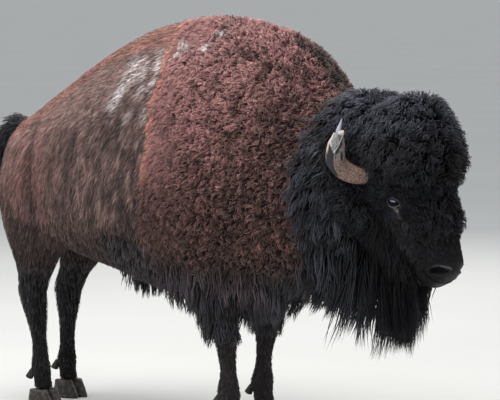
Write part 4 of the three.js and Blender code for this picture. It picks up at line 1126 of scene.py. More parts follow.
# %% [markdown]
# The colours go on one over the other: brown fibre, grey higher up, pale strokes, dark bands and crack, the
# plate with its rim, and last the lit outer edge and the bare core at the tip.

# %% Horn material
horn_colour = made.mix(tone("5d463d"), tone("a3887c"), made.between(0.32, 0.68, strokes))
horn_colour = made.mix(horn_colour, tone("77716f"), made.between(0.52, 0.6, share + ragged))
horn_colour = made.mix(horn_colour, tone("ad9c94"), steps * 0.6)
dark = made.larger(made.larger(black_band, crack), slit)
horn_colour = made.mix(horn_colour, made.mix(tone("141417"), tone("38373e"), grain), dark)
plate = made.mix(tone("5a5a5f"), tone("8f8e8d"), made.between(0.4, 0.6, grain + 0.3 * (outer - 0.5)))
horn_colour = made.mix(horn_colour, plate, made.between(0, 0.006, above))
rim = made.between(-0.014, -0.007, above) * (1 - made.between(0.008, 0.015, above))
rim = rim * made.between(0.08, 0.16, outer) * made.between(0.3, 0.62, chips)
horn_colour = made.mix(horn_colour, tone("d0c9c4"), rim)
lit_edge = made.between(0.9, 0.95, outer) * made.between(0.6, 0.66, share)
knob = made.between(0.815, 0.835, share) * (1 - made.between(0.5, 0.62, outer))
horn_colour = made.mix(horn_colour, tone("dccdc6"), made.larger(lit_edge, knob) * 0.8)
horn_colour = made.mix(horn_colour, tone("a8a8b5"), made.between(HORN_STEP, HORN_STEP + 0.02, share))
horn_colour = made.mix(horn_colour, made.grey(0.52 + 0.45 * grain + 0.3 * fibre), 1.0, "MULTIPLY")
horn_relief = made.bump(grain * 0.5 + strokes * 0.4 + fibre * 0.3 - dark * 0.25, 0.004, 0.7)
horn_finish = made.feed(Base_Color=horn_colour, Roughness=0.75 - 0.3 * chips, Normal=horn_relief)
print("horn material:", len(made.tree.nodes), "nodes")

# %% [markdown]
# The sheath is a tube whose radius swells and shrinks in growth rings. At the step its rim is frayed and
# thick, and inside it the bare core goes on, set to the worn side. Each ring of points is shifted along the
# horn by a ragged amount, so that the rim isn't a clean cut.

# %% Horns
for side, name in ((-1, "right"), (1, "left")):
    line = on_head(horn_lines[side])
    u = np.linspace(0, 1, HORN_RINGS)
    radii = np.interp(u, np.linspace(0, 1, len(HORN_RADII)), HORN_RADII) - 0.6
    radii -= (0.9 + 0.8 * np.sin(u * 190)) * blend(0.75, 0.2, u)
    core = u > HORN_STEP
    radii = np.where(core, np.interp(u, [HORN_STEP, 1], [HORN_CORE_RADIUS, 1.5]), radii)
    worn = on_head(unit(np.array(WORN_SIDE) * [1, side, 1])) - BETWEEN_EYES
    line = line + np.outer(np.where(core, 5 * (1 - u) / (1 - HORN_STEP), 0), worn)
    rings = tube_rings(line, radii, HORN_SIDES)
    turn = np.arange(HORN_SIDES) * 2 * math.pi / HORN_SIDES
    frayed = 0.01 * np.sin(turn * 5) + 0.008 * np.sin(turn * 11 + 1)
    way = unit(np.gradient(line, axis=0))
    for k in range(HORN_RINGS):
        wear = pulse(u[k], HORN_STEP - 0.02, 0.03)
        off = unit(rings[k] - line[k])
        lump = 4 * pulse(off @ worn, -0.7, 0.5) * pulse(u[k], HORN_STEP - 0.012, 0.014)
        rings[k] = rings[k] + np.outer(frayed * 150 * wear, way[k]) + off * lump[:, None]
    sheath = bmesh.new()
    loft(sheath, rings)
    bmesh.ops.recalc_face_normals(sheath, faces=sheath.faces)
    mesh = mesh_from(sheath, "horn_sheath_" + name)
    mesh.shade_smooth()
    p = to_body(points_of(mesh))
    ring = np.arange(len(p)) // HORN_SIDES
    off = unit(p - line[ring])
    fibre = 0.5 + 0.5 * cloud(p, [7, 7, 26], 12)
    paint(mesh, "growth", np.stack([u[ring], 0.5 + 0.5 * off @ worn, fibre], axis=1))
    horn = new_piece("horn_sheath_" + name, mesh, horn_finish)
    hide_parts("horn_" + name)
print("horns:", HORN_RINGS, "rings each")

# %% [markdown]
# ## Hooves
# Each foot stands on two claws. Their flat inner walls almost touch, and the outer walls are worn and
# scratched. The solids' own sizes are read from the frame, so the finer claws stand on the same ground.

# %% Hoof material
made = Finish("hoof_wall", Roughness=0.5, Specular_IOR_Level=0.4)
rings_of_growth = made.noise(1, 4, made.places((40, 40, 420)))
scuffs = made.noise(60, 6)
hoof_colour = made.mix(tone("26221f"), tone("5b514a"), made.between(0.45, 0.7, scuffs))
hoof_colour = made.mix(hoof_colour, made.grey(0.6 + 0.7 * rings_of_growth), 1.0, "MULTIPLY")
hoof_relief = made.bump(rings_of_growth * 0.7 + scuffs * 0.4, 0.002, 0.6)
hoof_finish = made.feed(Base_Color=hoof_colour, Roughness=0.4 + 0.35 * scuffs, Normal=hoof_relief)
print("hoof material:", len(made.tree.nodes), "nodes")

# %% [markdown]
# A claw is lofted from its sole up. It is longest at the ground and leans its tip in towards its neighbour.
# The rims are bevelled, because horn wears round there.

# %% Claws
# height, reach to the front, reach to the back, half width
CLAW = [(0, 88, 58, 32), (9, 86, 57, 32.4), (40, 72, 54, 31.5), (70, 52, 48, 29.6), (82, 44, 46, 29)]
CLAW_SIDES, CLAW_INSET = 28, 0.4
FORE_CLAW = 1.07  # how much larger the claws of the forelegs are
SHARP = 0.9  # the angle, in radians, from which an edge counts as a rim

for node in sorted(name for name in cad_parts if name.startswith("hoof_")):
    low, high = (np.array(corner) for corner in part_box(node))
    scale = FORE_CLAW if "fore" in node else 1
    foot = node.removeprefix("hoof_").rsplit("_", 1)[0]
    joint, step, side = LEGS[foot][1:]
    inner = side if node.endswith("outer") else -side
    centre = to_body([[0, (low[1] + high[1]) / 2, 0]])[0, 1]
    claw_rings = []
    for z, front, rear, half in CLAW:
        half, front, rear = (size * scale - CLAW_INSET for size in (half, front, rear))
        a, b = oval(half, front, rear, 2.1, 2.6, CLAW_SIDES)
        toe_in = -inner * 0.06 * np.maximum(b, 0)
        level = np.full(CLAW_SIDES, float(z))
        claw_rings.append(np.stack([joint + step + b, centre + a + toe_in, level], axis=1))
    claw = bmesh.new()
    loft(claw, claw_rings)
    bmesh.ops.recalc_face_normals(claw, faces=claw.faces)
    rims = [edge for edge in claw.edges if edge.calc_face_angle(0) > SHARP]
    bmesh.ops.bevel(claw, geom=rims, offset=0.003, affect="EDGES", segments=2, profile=0.5, material=-1)
    mesh = mesh_from(claw, node.replace("hoof", "claw"))
    mesh.shade_smooth()
    piece = new_piece(mesh.name, mesh, hoof_finish)
    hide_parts(node)
print("claws made")

# %% [markdown]
# Two dewclaws sit behind each fetlock. They are small horny cones, widest at their worn lower end and
# rooted in the leg by the narrow one. A cone from the toolbox, tilted and rounded at its rims, is all that
# they need.

# %% Dewclaws
DEWCLAW = {"height": 150, "narrow": 9, "wide": 18.5, "long": 44, "tilt": 28, "lateral": 26}
DEWCLAW_BACK = {"fore": 64, "hind": 60}  # how far behind the foot's middle

dewclaws = bmesh.new()
for leg, (stations, joint, step, side) in LEGS.items():
    for lateral in (-1, 1):
        across = side * stations[0][4] + lateral * DEWCLAW["lateral"]
        place = from_body([joint + step - DEWCLAW_BACK[leg[:4]], across, DEWCLAW["height"]])
        turned = Matrix.Translation(place) @ Matrix.Rotation(math.radians(DEWCLAW["tilt"]), 4, "Y")
        bmesh.ops.create_cone(
            dewclaws, cap_ends=True, segments=24, radius1=DEWCLAW["wide"] * MM,
            radius2=DEWCLAW["narrow"] * MM, depth=DEWCLAW["long"] * MM, matrix=turned,
        )
rims = [edge for edge in dewclaws.edges if edge.calc_face_angle(0) > SHARP]
bmesh.ops.bevel(dewclaws, geom=rims, offset=0.004, affect="EDGES", segments=3, profile=0.5, material=-1)
mesh = mesh_from(dewclaws, "dewclaws")
mesh.shade_smooth()
piece = new_piece(mesh.name, mesh, hoof_finish)
print("dewclaws:", 2 * len(LEGS))

# %% [markdown]
# ## How a coat is made
# Hair here is real geometry: thousands of thin, tapered tufts of three sides, each standing for many hairs.
# Neighbouring tufts share a lock. They bend the same way and lean towards the lock's own tip, and that
# makes wool look like wool instead of grass. Blender's own hair would be quicker to comb, but it vanishes
# when a model is exported. So every tuft is worked out in arrays and joined into a few meshes.

# %% The hide as triangles, to root hair on
skin_mesh.calc_loop_triangles()
corner_ids = np.empty(len(skin_mesh.loop_triangles) * 3, np.int32)
skin_mesh.loop_triangles.foreach_get("vertices", corner_ids)
triangles = corner_ids.reshape(-1, 3)
skin_normals = np.empty(len(skin_mesh.vertices) * 3, np.float32)
skin_mesh.vertices.foreach_get("normal", skin_normals)
skin_normals = skin_normals.reshape(-1, 3).astype(float)

corners = skin_places[triangles]
tri_middle = corners.mean(axis=1)
tri_cross = np.cross(corners[:, 1] - corners[:, 0], corners[:, 2] - corners[:, 0])
tri_area = np.linalg.norm(tri_cross, axis=1) / 2
tri_normal = unit(tri_cross)
print("hide:", round(tri_area.sum() * MM**2, 2), "square metres")

# %% [markdown]
# Roots are strewn at random, more of them than are wanted, and then thinned with a grid: in each cell only
# the first one stays. That spreads them evenly, as hairs are, without the rows of a regular pattern.

# %% Roots for a zone
STREWN = 2.4  # roots strewn for each one that the spacing asks for
CELL_KEY = np.array([1, 4096, 16777216])  # gives each cell of a grid a number of its own


def scatter(zone, spacing, seed):
    """Roots spread evenly over the part of the hide that a zone wants, with the hide's normals there."""
    rng = np.random.default_rng(seed)
    weight = tri_area * np.clip(zone(tri_middle, tri_normal), 0, 1)
    count = int(weight.sum() / spacing**2 * STREWN)
    pick = rng.choice(len(weight), count, p=weight / weight.sum())
    u, v = rng.random((2, count))
    u, v = np.where(u + v > 1, 1 - u, u)[:, None], np.where(u + v > 1, 1 - v, v)[:, None]
    a, b, c = (triangles[pick, k] for k in range(3))
    points = skin_places[a] * (1 - u - v) + skin_places[b] * u + skin_places[c] * v
    normals = unit(skin_normals[a] * (1 - u - v) + skin_normals[b] * u + skin_normals[c] * v)
    _, keep = np.unique(np.floor(points / spacing).astype(np.int64) @ CELL_KEY, return_index=True)
    keep.sort()
    return points[keep], normals[keep]


print("roots strewn for each kept:", STREWN)

# %% [markdown]
# Each tuft also needs a place on a flat map, to which its colour can be baked. The map is the hide's own
# unwrap: trunk, head, tail and legs are each slit along one line and rolled flat, side by side. A tuft is a
# patch three thousandths of the map across, at its root's place.

# %% A flat map of the hide
# start and width of each part of the map
ISLANDS = {"trunk": (0, 0.46), "head": (0.47, 0.3), "tail": (0.78, 0.04), "legs": (0.83, 0.17)}
PATCH, MARGIN = 0.003, 0.01
# the line round which each part is unrolled, and where along it the part starts and how long it is there
TRUNK_HEIGHT, TRUNK_START, TRUNK_LONG = 1040, -1250, 2500
HEAD_HEIGHT, HEAD_START, HEAD_LONG = -30, -420, 820
TAIL_ASIDE, TAIL_HEIGHT, TAIL_START, TAIL_LONG = 12, 1220, -1200, 300
LEG_ASIDE, LEG_LONG, LEG_GAP = 165, 720, 0.96
LEGS_BELOW, BETWEEN_LEGS = 700, -400


def leg_share(p):
    """Which leg a place belongs to, from 0 to 3, or -1 where it is on the trunk."""
    which = (p[:, 0] < BETWEEN_LEGS) * 2 + (p[:, 1] > 0)
    return np.where(p[:, 2] < LEGS_BELOW, which, -1)


def around(across, up):
    """How far round a limb a place lies, from 0 to 1."""
    return np.arctan2(across, up) / (2 * math.pi) + 0.5


def unwrap(p):
    """Places on the flat map for places on the hide."""
    h = to_head(p)
    island_u, island_v = np.zeros(len(p)), np.zeros(len(p))
    is_head, leg = head_share(p) > 0.5, leg_share(p)

    def put(chosen, island, u, v):
        start, width = ISLANDS[island]
        island_u[chosen] = (start + width * np.clip(u, MARGIN, 1 - MARGIN))[chosen]
        island_v[chosen] = np.clip(v, MARGIN, 1 - MARGIN)[chosen]

    put(~is_head, "trunk", around(p[:, 1], p[:, 2] - TRUNK_HEIGHT), (p[:, 0] - TRUNK_START) / TRUNK_LONG)
    put(is_head, "head", around(h[:, 1], h[:, 2] - HEAD_HEIGHT), (h[:, 0] - HEAD_START) / HEAD_LONG)
    tail_turn = around(p[:, 1] - TAIL_ASIDE, p[:, 2] - TAIL_HEIGHT)
    put(p[:, 0] < TAIL_START, "tail", tail_turn, (TAIL_START - p[:, 0]) / TAIL_LONG)
    for k, name in enumerate(LEGS):
        x, side = leg_centre(name, p[:, 2])
        turn = around(p[:, 1] - side * LEG_ASIDE, p[:, 0] - x)
        put((leg == k) & ~is_head, "legs", (k + turn * LEG_GAP) / len(LEGS), p[:, 2] / LEG_LONG)
    return np.column_stack([island_u, island_v])


def filled(spots):
    """Stretches a piece's part of the flat map over the whole of it."""
    low, high = spots.min(axis=0), spots.max(axis=0)
    return 0.004 + (spots - low) / np.maximum(high - low, 1e-6) * (0.992 - PATCH)


print("patches of", PATCH, "on", len(ISLANDS), "islands")

# %% [markdown]
# One tuft is a few rings of three points and a tip. The same pattern of faces is repeated for every tuft in
# a piece, so the whole piece is written as a few long arrays.

# %% The faces of one tuft
CORNERS = 3  # sides of a tuft


def tuft_faces(rings):
    """The faces of one tuft, as corners with their place round it and along it."""
    faces = []
    for ring in range(rings - 1):
        here, above = ring * CORNERS, (ring + 1) * CORNERS
        for k in range(CORNERS):
            after = (k + 1) % CORNERS
            faces.append([(here + k, k, ring), (here + after, k + 1, ring),
                          (above + after, k + 1, ring + 1), (above + k, k, ring + 1)])
    last, tip = (rings - 1) * CORNERS, rings * CORNERS
    for k in range(CORNERS):
        after = (k + 1) % CORNERS
        faces.append([(last + k, k, rings - 1), (last + after, k + 1, rings - 1), (tip, k + 0.5, rings)])
    faces.append([(2, 2, 0), (1, 1, 0), (0, 0, 0)])
    return faces


def triangles_in(rings):
    return sum(len(face) - 2 for face in tuft_faces(rings))


print("one tuft of three rings has", triangles_in(3), "triangles")

# %% [markdown]
# The rings stand square to the tuft's own line, as in any tube. Then four arrays make the mesh: its points,
# the corners of its faces, where each face starts, and the patch on the flat map. Two colours go with each
# point: the coat's, and one that says how far along the tuft it is and which lock it belongs to.

# %% Many tufts as one mesh
def repeated(pattern, count, step):
    """The same row of numbers for every tuft, raised by a step from each tuft to the next."""
    return (pattern[None] + np.arange(count)[:, None] * step).astype(np.int32).ravel()


def tuft_points(centres, across, radii, flat):
    """Rings of three points along each tuft, and its tip. Flat is how thick it is for its width."""
    count, rings = centres.shape[0], centres.shape[1] - 1
    way = unit(np.gradient(centres, axis=1))
    side = unit(across[:, None] - way * (across[:, None] * way).sum(axis=2, keepdims=True))
    over = np.cross(way, side)
    turn = np.arange(CORNERS) * 2 * math.pi / CORNERS
    off = side[:, :rings, None] * np.cos(turn)[:, None] + over[:, :rings, None] * np.sin(turn)[:, None] * flat
    ring_points = centres[:, :rings, None] + radii[:, :, None, None] * off
    return np.concatenate([ring_points.reshape(count, rings * CORNERS, 3), centres[:, -1:]], axis=1)


def tuft_mesh(name, points, rings, spots, colours, strands):
    """One mesh of many tufts, with their places on the flat map and their colours."""
    count, per_tuft = points.shape[:2]
    pattern = tuft_faces(rings)
    corner_rows = [corner for face in pattern for corner in face]
    ids, round_it, along_it = (np.array(column) for column in zip(*corner_rows))
    sizes = np.array([len(face) for face in pattern])
    starts = np.concatenate([[0], np.cumsum(sizes)[:-1]])

    mesh = bpy.data.meshes.new(name)
    mesh.vertices.add(count * per_tuft)
    mesh.vertices.foreach_set("co", from_body(points.reshape(-1, 3)).astype(np.float32).ravel())
    mesh.loops.add(count * len(ids))
    mesh.loops.foreach_set("vertex_index", repeated(ids, count, per_tuft))
    mesh.polygons.add(count * len(sizes))
    mesh.polygons.foreach_set("loop_start", repeated(starts, count, len(ids)))
    mesh.update(calc_edges=True)
    mesh.shade_smooth()

    patch_u, patch_v = round_it / CORNERS * PATCH, along_it / rings * PATCH
    uv = np.stack([spots[:, :1] + patch_u, spots[:, 1:] + patch_v], axis=2)
    mesh.uv_layers.new(name="OFBake").data.foreach_set("uv", uv.astype(np.float32).ravel())
    paint(mesh, "coat", np.repeat(colours, per_tuft, axis=0))
    climb = np.append(np.repeat(np.arange(rings), CORNERS), rings) / rings
    strand = np.column_stack([np.tile(climb, count), np.repeat(strands, per_tuft, axis=0)])
    paint(mesh, "strand", strand)
    return mesh


print("faces in a tuft of three rings:", len(tuft_faces(3)))

# %% [markdown]
# Roots that lie near one another make a lock. Its middle is one of the roots, and each of the others
# belongs to the nearest middle. A tuft's line climbs from its root and then bends over along the coat's
# lie. It is drawn to the middle of its lock, more and more towards the tip.

# %% Locks, and the line of a tuft
def find_locks(points, lock, seed):
    """For each root the number of its lock, and the roots that are the locks' middles."""
    keys = np.floor(points / lock + 0.37 * seed).astype(np.int64) @ CELL_KEY
    _, middles = np.unique(keys, return_index=True)
    tree = KDTree(len(middles))
    for k, i in enumerate(middles):
        tree.insert(points[i], k)
    tree.balance()
    return np.array([tree.find(point)[1] for point in points]), middles


def arched(points, normals, way, length, rise, sunk, arch, t):
    """Lines that climb by rise above the skin and run on by length, from a root sunk a little into it."""
    lift = np.sin(np.minimum(t * arch * 1.25, 1.0 + 0.25 * arch) * math.pi / 2)
    lines = points[:, None] - normals[:, None] * sunk
    lines = lines + normals[:, None] * (rise[:, None, None] + sunk) * lift
    return lines + way[:, None] * length[:, None, None] * (t + 0.25 * t**2) / 1.25


def gathered(lines, points, middle, gather, t):
    """Draws each line to the one at the middle of its lock."""
    own_shape = lines - points[:, None]
    lock_tips = points[middle][:, None] + own_shape[middle]
    pull = gather * t**1.4
    return lines * (1 - pull) + lock_tips * pull


print("ready to bend tufts")

# %% [markdown]
# The next function combs a whole zone. For each root it takes the way that the coat lies there and varies
# it by lock and by tuft. Then it bends, gathers and curls the tufts, and colours each one as the hide is
# coloured at its root. A zone with too many triangles for one mesh is parted from rump to head.

# %% Comb a zone of the coat
coat_pieces = []
MOST_TRIANGLES = 196_000
TAPERS = {  # a tuft's width at each of its rings, by how many it has
    2: [0.8, 0.75], 3: [0.75, 1, 0.62], 4: [0.7, 1, 0.85, 0.5], 5: [0.7, 1, 0.95, 0.75, 0.45],
    6: [0.7, 1, 1, 0.85, 0.65, 0.4],
}


def comb(name, zone, lie, spacing, length, width, rise, lock, seed, gather=0.5, curl=0.0, turns=0.6, rings=3,
         hang=0.0, arch=1.0, flat=0.55, vary=0.2, frizz=0.35, uneven=1.0, sunk=4, finish=None,
         slot="coat_black"):
    """Grows one zone of hair. Sizes are in millimetres; lock is the distance between the locks' middles."""
    rng = np.random.default_rng(seed)
    points, normals = scatter(zone, spacing, seed)
    count = len(points)
    sizes = (length, rise, width)
    length, rise, width = (
        size(points, normals) if callable(size) else np.full(count, float(size)) for size in sizes
    )
    nearest, middles = find_locks(points, lock, seed)
    lock_draws = rng.random((len(middles), 4))[nearest]

    way = lie(points, normals)
    way = way + (lock_draws[:, :3] - 0.5) * vary * 2 + rng.normal(0, vary * frizz, (count, 3))
    flatways = unit(way - normals * (way * normals).sum(axis=1, keepdims=True))
    way = unit(flatways * (1 - hang) + unit(way) * hang)
    across = unit(np.cross(normals, flatways))
    lock_length = 1 - uneven * (0.2 - 0.3 * lock_draws[:, 3])
    length = length * lock_length * (1 + uneven * rng.uniform(-0.15, 0.12, count))
    rise = rise * (0.72 + 0.34 * lock_draws[:, 3]) * rng.uniform(0.85, 1.08, count)

    t = np.linspace(0, 1, rings + 1)[None, :, None]
    lines = arched(points, normals, way, length, rise, sunk, arch, t)
    lines = gathered(lines, points, middles[nearest], gather, t)
    phase = (lock_draws[:, 0] * 2 * math.pi)[:, None, None] + rng.normal(0, frizz * 2, (count, 1, 1))
    swing = 2 * math.pi * turns * t + phase
    sway = across[:, None] * np.sin(swing) + normals[:, None] * np.cos(swing) * 0.7
    lines = lines + curl * np.minimum(t * 2, 1) * sway

    radii = width[:, None] / 2 * np.array(TAPERS[rings]) * rng.uniform(0.8, 1.2, (count, 1))
    tufts = tuft_points(lines, across, radii, flat)
    strands = np.column_stack([lock_draws[:, 1], rng.random(count)])
    colours, spots = markings(points), unwrap(points)
    parts = math.ceil(count * triangles_in(rings) / MOST_TRIANGLES)
    rump_to_head = np.argsort(points[:, 0], kind="stable")
    for part, chosen in enumerate(np.array_split(rump_to_head, parts)):
        title = name if parts == 1 else f"{name}_{part + 1}"
        mesh = tuft_mesh(title, tufts[chosen], rings, filled(spots[chosen]), colours[chosen], strands[chosen])
        piece = new_piece(title, mesh, finish)
        coat_pieces.append(piece)
        print(title, len(chosen), "tufts,", len(chosen) * triangles_in(rings), "triangles")


print("ready to comb")

# %% [markdown]
# ## Finishes of hair
# Woolly hair drinks light between its curls, so each tuft is painted darker at its root, as painted shade,
# and paler at its tip, partly worn and partly a painted highlight. The cape's tips are bleached by the sun.
# Black hair is coarser and a little glossy, and its tips carry a painted cold sheen of the sky. Every lock
# and every tuft differs slightly from its neighbours.

# %% Hair materials
def hair_finish(name, root, tip, spread, single, tint, worn, **constants):
    """Root and tip are shares of the coat's colour there: the dark root is painted shade, the pale tip partly
    a painted highlight. Spread is how far hairs differ, single how far each tuft differs from its own lock.
    Tint is what the tips turn to, and worn how far they do: on black hair a painted sheen of the sky, on the
    brown coats a paler tip."""
    made = Finish(name, **constants)
    climb, lock, own = made.parts("strand", 3)
    draw = lock * (1 - single) + own * single
    shade = (root + (tip - root) * climb) * (1 - spread + 2 * spread * draw)
    colour = made.mix(made.attribute("coat"), tone(tint), climb * draw * worn)
    colour = made.mix(colour, made.grey(shade), 1.0, "MULTIPLY")
    return made.feed(Base_Color=colour)


def gloss(roughness, level):
    return {"Roughness": roughness, "Specular_IOR_Level": level}


dry = {**gloss(0.9, 0.15), "Sheen_Weight": 0.1, "Sheen_Roughness": 0.6}
wool_finish = hair_finish("cape_wool", 0.08, 2.05, 0.62, 0.4, "b38d79", 0.4, **dry)
border_finish = hair_finish("cape_border", 0.58, 1.5, 0.4, 0.55, "b38d79", 0.3, **dry)
# on the black, face, bonnet and beard finishes the tint at the tips is a painted sheen of the sky
black_finish = hair_finish("black_hair", 0.2, 1.75, 0.75, 0.4, "50525f", 0.55, **gloss(0.5, 0.35))
face_finish = hair_finish("face_hair", 0.12, 1.75, 0.7, 0.4, "3f404a", 0.45, **gloss(0.6, 0.25))
bonnet_finish = hair_finish("bonnet_wool", 0.2, 1.75, 0.75, 0.4, "50525c", 0.3, **gloss(0.55, 0.3))
beard_finish = hair_finish("beard_hair", 0.15, 1.45, 0.6, 0.4, "36373f", 0.35, **gloss(0.6, 0.2))
short_finish = hair_finish("short_coat", 0.75, 1.25, 0.6, 0.75, "a3887f", 0.4, **gloss(0.8, 0.2))
print("seven hair finishes")

# %% [markdown]
# ## The coat, zone by zone
# A zone is a rule that says where it is, and a lie says which way its hair runs. Sizes may be rules too:
# most of them change with a measure of the place, such as its height or how far down the face it is.

# %% Rules for zones, lies and sizes
def x_of(p):
    return p[:, 0]


def height_of(p):
    return p[:, 2]


def s_of(p):
    """How far along the head a place is, from the eyes towards the nose."""
    return to_head(p)[:, 0]


def changing(measure, stops, sizes):
    """A size that changes with a measure of the place."""
    return lambda p, n: np.interp(measure(p), stops, sizes)


def towards(*way):
    """The same direction everywhere, in the body's axes."""
    return lambda p, n: np.broadcast_to(unit(np.array(way, float)), p.shape)


def head_way(s, outwards, h):
    """A direction in the head's axes, which turns outwards on each side."""
    def way(p, n):
        side = np.sign(to_head(p)[:, 1])[:, None]
        return unit(s * head_along + h * head_up + outwards * side * head_left)
    return way


print("zones ready")

# %% [markdown]
# ### The cape
# A bull's cape is wool: short springy curls in front, and behind them a border that lies flat like velvet
# and ends at a clean edge. Two zones share the work. The curls stand up, twist and gather into small locks,
# and the border is combed down and back with hardly any curl. Random patches decide where one turns into
# the other, so that no line shows between them.

# %% Cape
CAPE_BOTTOM = (600, 680)  # the wool thins out between these heights
BORDER_WIDE = 140


def cape_curly(p):
    """One in the curly front of the cape, nothing in its combed rear border."""
    return blend(120, 260, ahead_of_edge(p) + 40 * cloud(p, 120, 14))


def on_cape(p, n):
    return cape_share(p) * blend(*CAPE_BOTTOM, height_of(p)) * (n[:, 2] > -0.8)


WOOL = {"rings": 2, "arch": 1.3, "slot": "coat_cape"}
comb("cape_curls", lambda p, n: on_cape(p, n) * cape_curly(p), towards(-0.6, 0, -0.9), spacing=7.1, length=28,
     width=5.2, rise=32, lock=21, seed=11, curl=6, turns=0.75, frizz=0.6, vary=0.7, finish=wool_finish,
     **WOOL)
comb("cape_border", lambda p, n: on_cape(p, n) * (1 - cape_curly(p)), towards(-0.6, 0, -0.8), spacing=6.1,
     length=34, width=4, rise=changing(ahead_of_edge, [0, BORDER_WIDE], [13, 31]), lock=26, seed=12,
     gather=0.35, curl=2.5, frizz=0.5, vary=0.25, finish=border_finish, **WOOL)

# %% [markdown]
# ### Mane and throat
# Ahead of the cape the hair turns black and longer. On the side of the neck it hangs in loose locks, and
# under the throat it grows into a long bib. Gravity shapes long hair more than its root does, so these
# tufts have a high hang: past the root they simply fall.

# %% Mane and throat
def is_black(p):
    """The mane and throat ahead of the cape."""
    return blend(-20, 20, p[:, 0] - np.interp(p[:, 2], *MANE_REAR)) * (1 - head_share(p))


def is_throat(p):
    under_neck = np.interp(x_of(p), [940, 1080], [0, 140])
    return blend(930, 850, height_of(p) - under_neck + 40 * cloud(p, 60, 15))


def horn_clear(p, near, far):
    """Nothing close to a horn's root, rising to one further off."""
    h = to_head(p)
    gap = np.min([away_from(line[:60:6], h)[0] for line in horn_lines.values()], axis=0)
    return blend(near, far, gap)


BIB_LENGTHS = changing(x_of, [780, 880, 960, 1060], [190, 260, 420, 480])
comb("mane", lambda p, n: is_black(p) * (1 - is_throat(p)) * horn_clear(p, 50, 70), towards(-0.5, 0, -1),
     spacing=9.5, length=84, width=7.5, rise=40, lock=40, seed=21, curl=7, turns=0.8, rings=4, frizz=0.5,
     vary=0.35, finish=black_finish)
comb("throat", lambda p, n: is_black(p) * is_throat(p) * (n[:, 2] < 0.3), towards(-0.12, 0, -1), spacing=10.2,
     length=BIB_LENGTHS, width=9, rise=24, lock=46, seed=22, gather=0.55, curl=10, turns=1.2, rings=5,
     hang=0.8, vary=0.17, finish=black_finish)

# %% [markdown]
# ### The head's zones
# Every zone of the head lies between two stations along it, and where the skin faces up, sideways or down.
# The hair leaves the eyes open, and it is short beside them and round the foot of each horn.

# %% Rules for the head
def facing_up(p, n):
    return n @ head_up


def on_face(start, end, lowest=-2, highest=2):
    """A zone between two stations of the head, where its skin faces up by a share between two limits."""
    def zone(p, n):
        s, up = s_of(p), facing_up(p, n)
        return head_share(p) * (s >= start) * (s < end) * (up > lowest) * (up <= highest)
    return zone


def clear_of_eyes(p, reach):
    """Nothing within reach of an eye, and one beyond it."""
    h = to_head(p)
    gaps = [np.linalg.norm(h - eye_places[side], axis=1) for side in (-1, 1)]
    return np.prod([blend(reach * 0.75, reach, gap) for gap in gaps], axis=0)


def off_eye(p):
    """How much of its length the coat keeps: little beside the eyes, all of it a hand away."""
    gaps = [np.linalg.norm(to_head(p) - eye_places[side], axis=1) for side in (-1, 1)]
    return 0.3 + 0.7 * blend(58, 185, np.min(gaps, axis=0))


def cut_by_eyes(size):
    """The same size, but shorter beside the eyes."""
    return lambda p, n: (size(p, n) if callable(size) else size) * off_eye(p)


def off_nostril(p):
    h = to_head(p)
    return np.prod([away_from(line, h)[0] > 21 for line in nostril_lines.values()], axis=0)


print("rules for the head ready")

# %% [markdown]
# ### Bonnet and cheeks
# The bonnet between the horns is dense wool, deepest on the crown. The cheeks below it hang in longer,
# softer locks that run into the mane.

# %% Bonnet and cheeks
HEAD_BACK, BONNET_END, CHEEK_END = -1000, -30, 70


def bonnet_rise(p, n):
    crown = blend(-0.1, 0.9, facing_up(p, n))
    rise = (34 + 32 * crown) * np.interp(s_of(p), [-90, -40], [1, 0.75])
    return rise * (0.4 + 0.6 * horn_clear(p, 50, 110)) * off_eye(p)


def bonnet_length(p, n):
    return 60 * (0.45 + 0.55 * horn_clear(p, 50, 120)) * off_eye(p)


bonnet_zone, cheek_zone = on_face(HEAD_BACK, BONNET_END, -0.35), on_face(HEAD_BACK, CHEEK_END, highest=-0.2)
comb("bonnet", lambda p, n: bonnet_zone(p, n) * horn_clear(p, 46, 60), head_way(0.35, 0.35, -0.25),
     spacing=6.4, length=bonnet_length, width=4.8, rise=bonnet_rise, lock=30, seed=31, gather=0.42, curl=7.5,
     turns=1.0, rings=4, arch=1.15, frizz=0.75, vary=0.55, finish=bonnet_finish)
comb("cheeks", lambda p, n: cheek_zone(p, n) * clear_of_eyes(p, 50) * horn_clear(p, 46, 60),
     towards(-0.45, 0, -1), spacing=7, length=cut_by_eyes(92), width=5, rise=cut_by_eyes(30), lock=34,
     seed=32, curl=5, rings=4, frizz=0.5, vary=0.26, finish=face_finish)

# %% [markdown]
# ### Forehead, face and muzzle
# Down the forehead the wool passes into shorter and flatter hair, and on the nose it is only a few
# millimetres long. The lids have the finest hair of all, combed round the open eye.

# %% Forehead, face, muzzle and lids
FOREHEAD, FACE, MUZZLE = (-36, 200), (20, 225), (170, 316)  # from where to where along the head


def forehead_rise(p, n):
    rise = np.interp(s_of(p), [-45, 0, 60, 130, 205], [44, 42, 50, 52, 10])
    return rise * (0.35 + 0.65 * blend(0.2, 0.95, facing_up(p, n))) * off_eye(p)


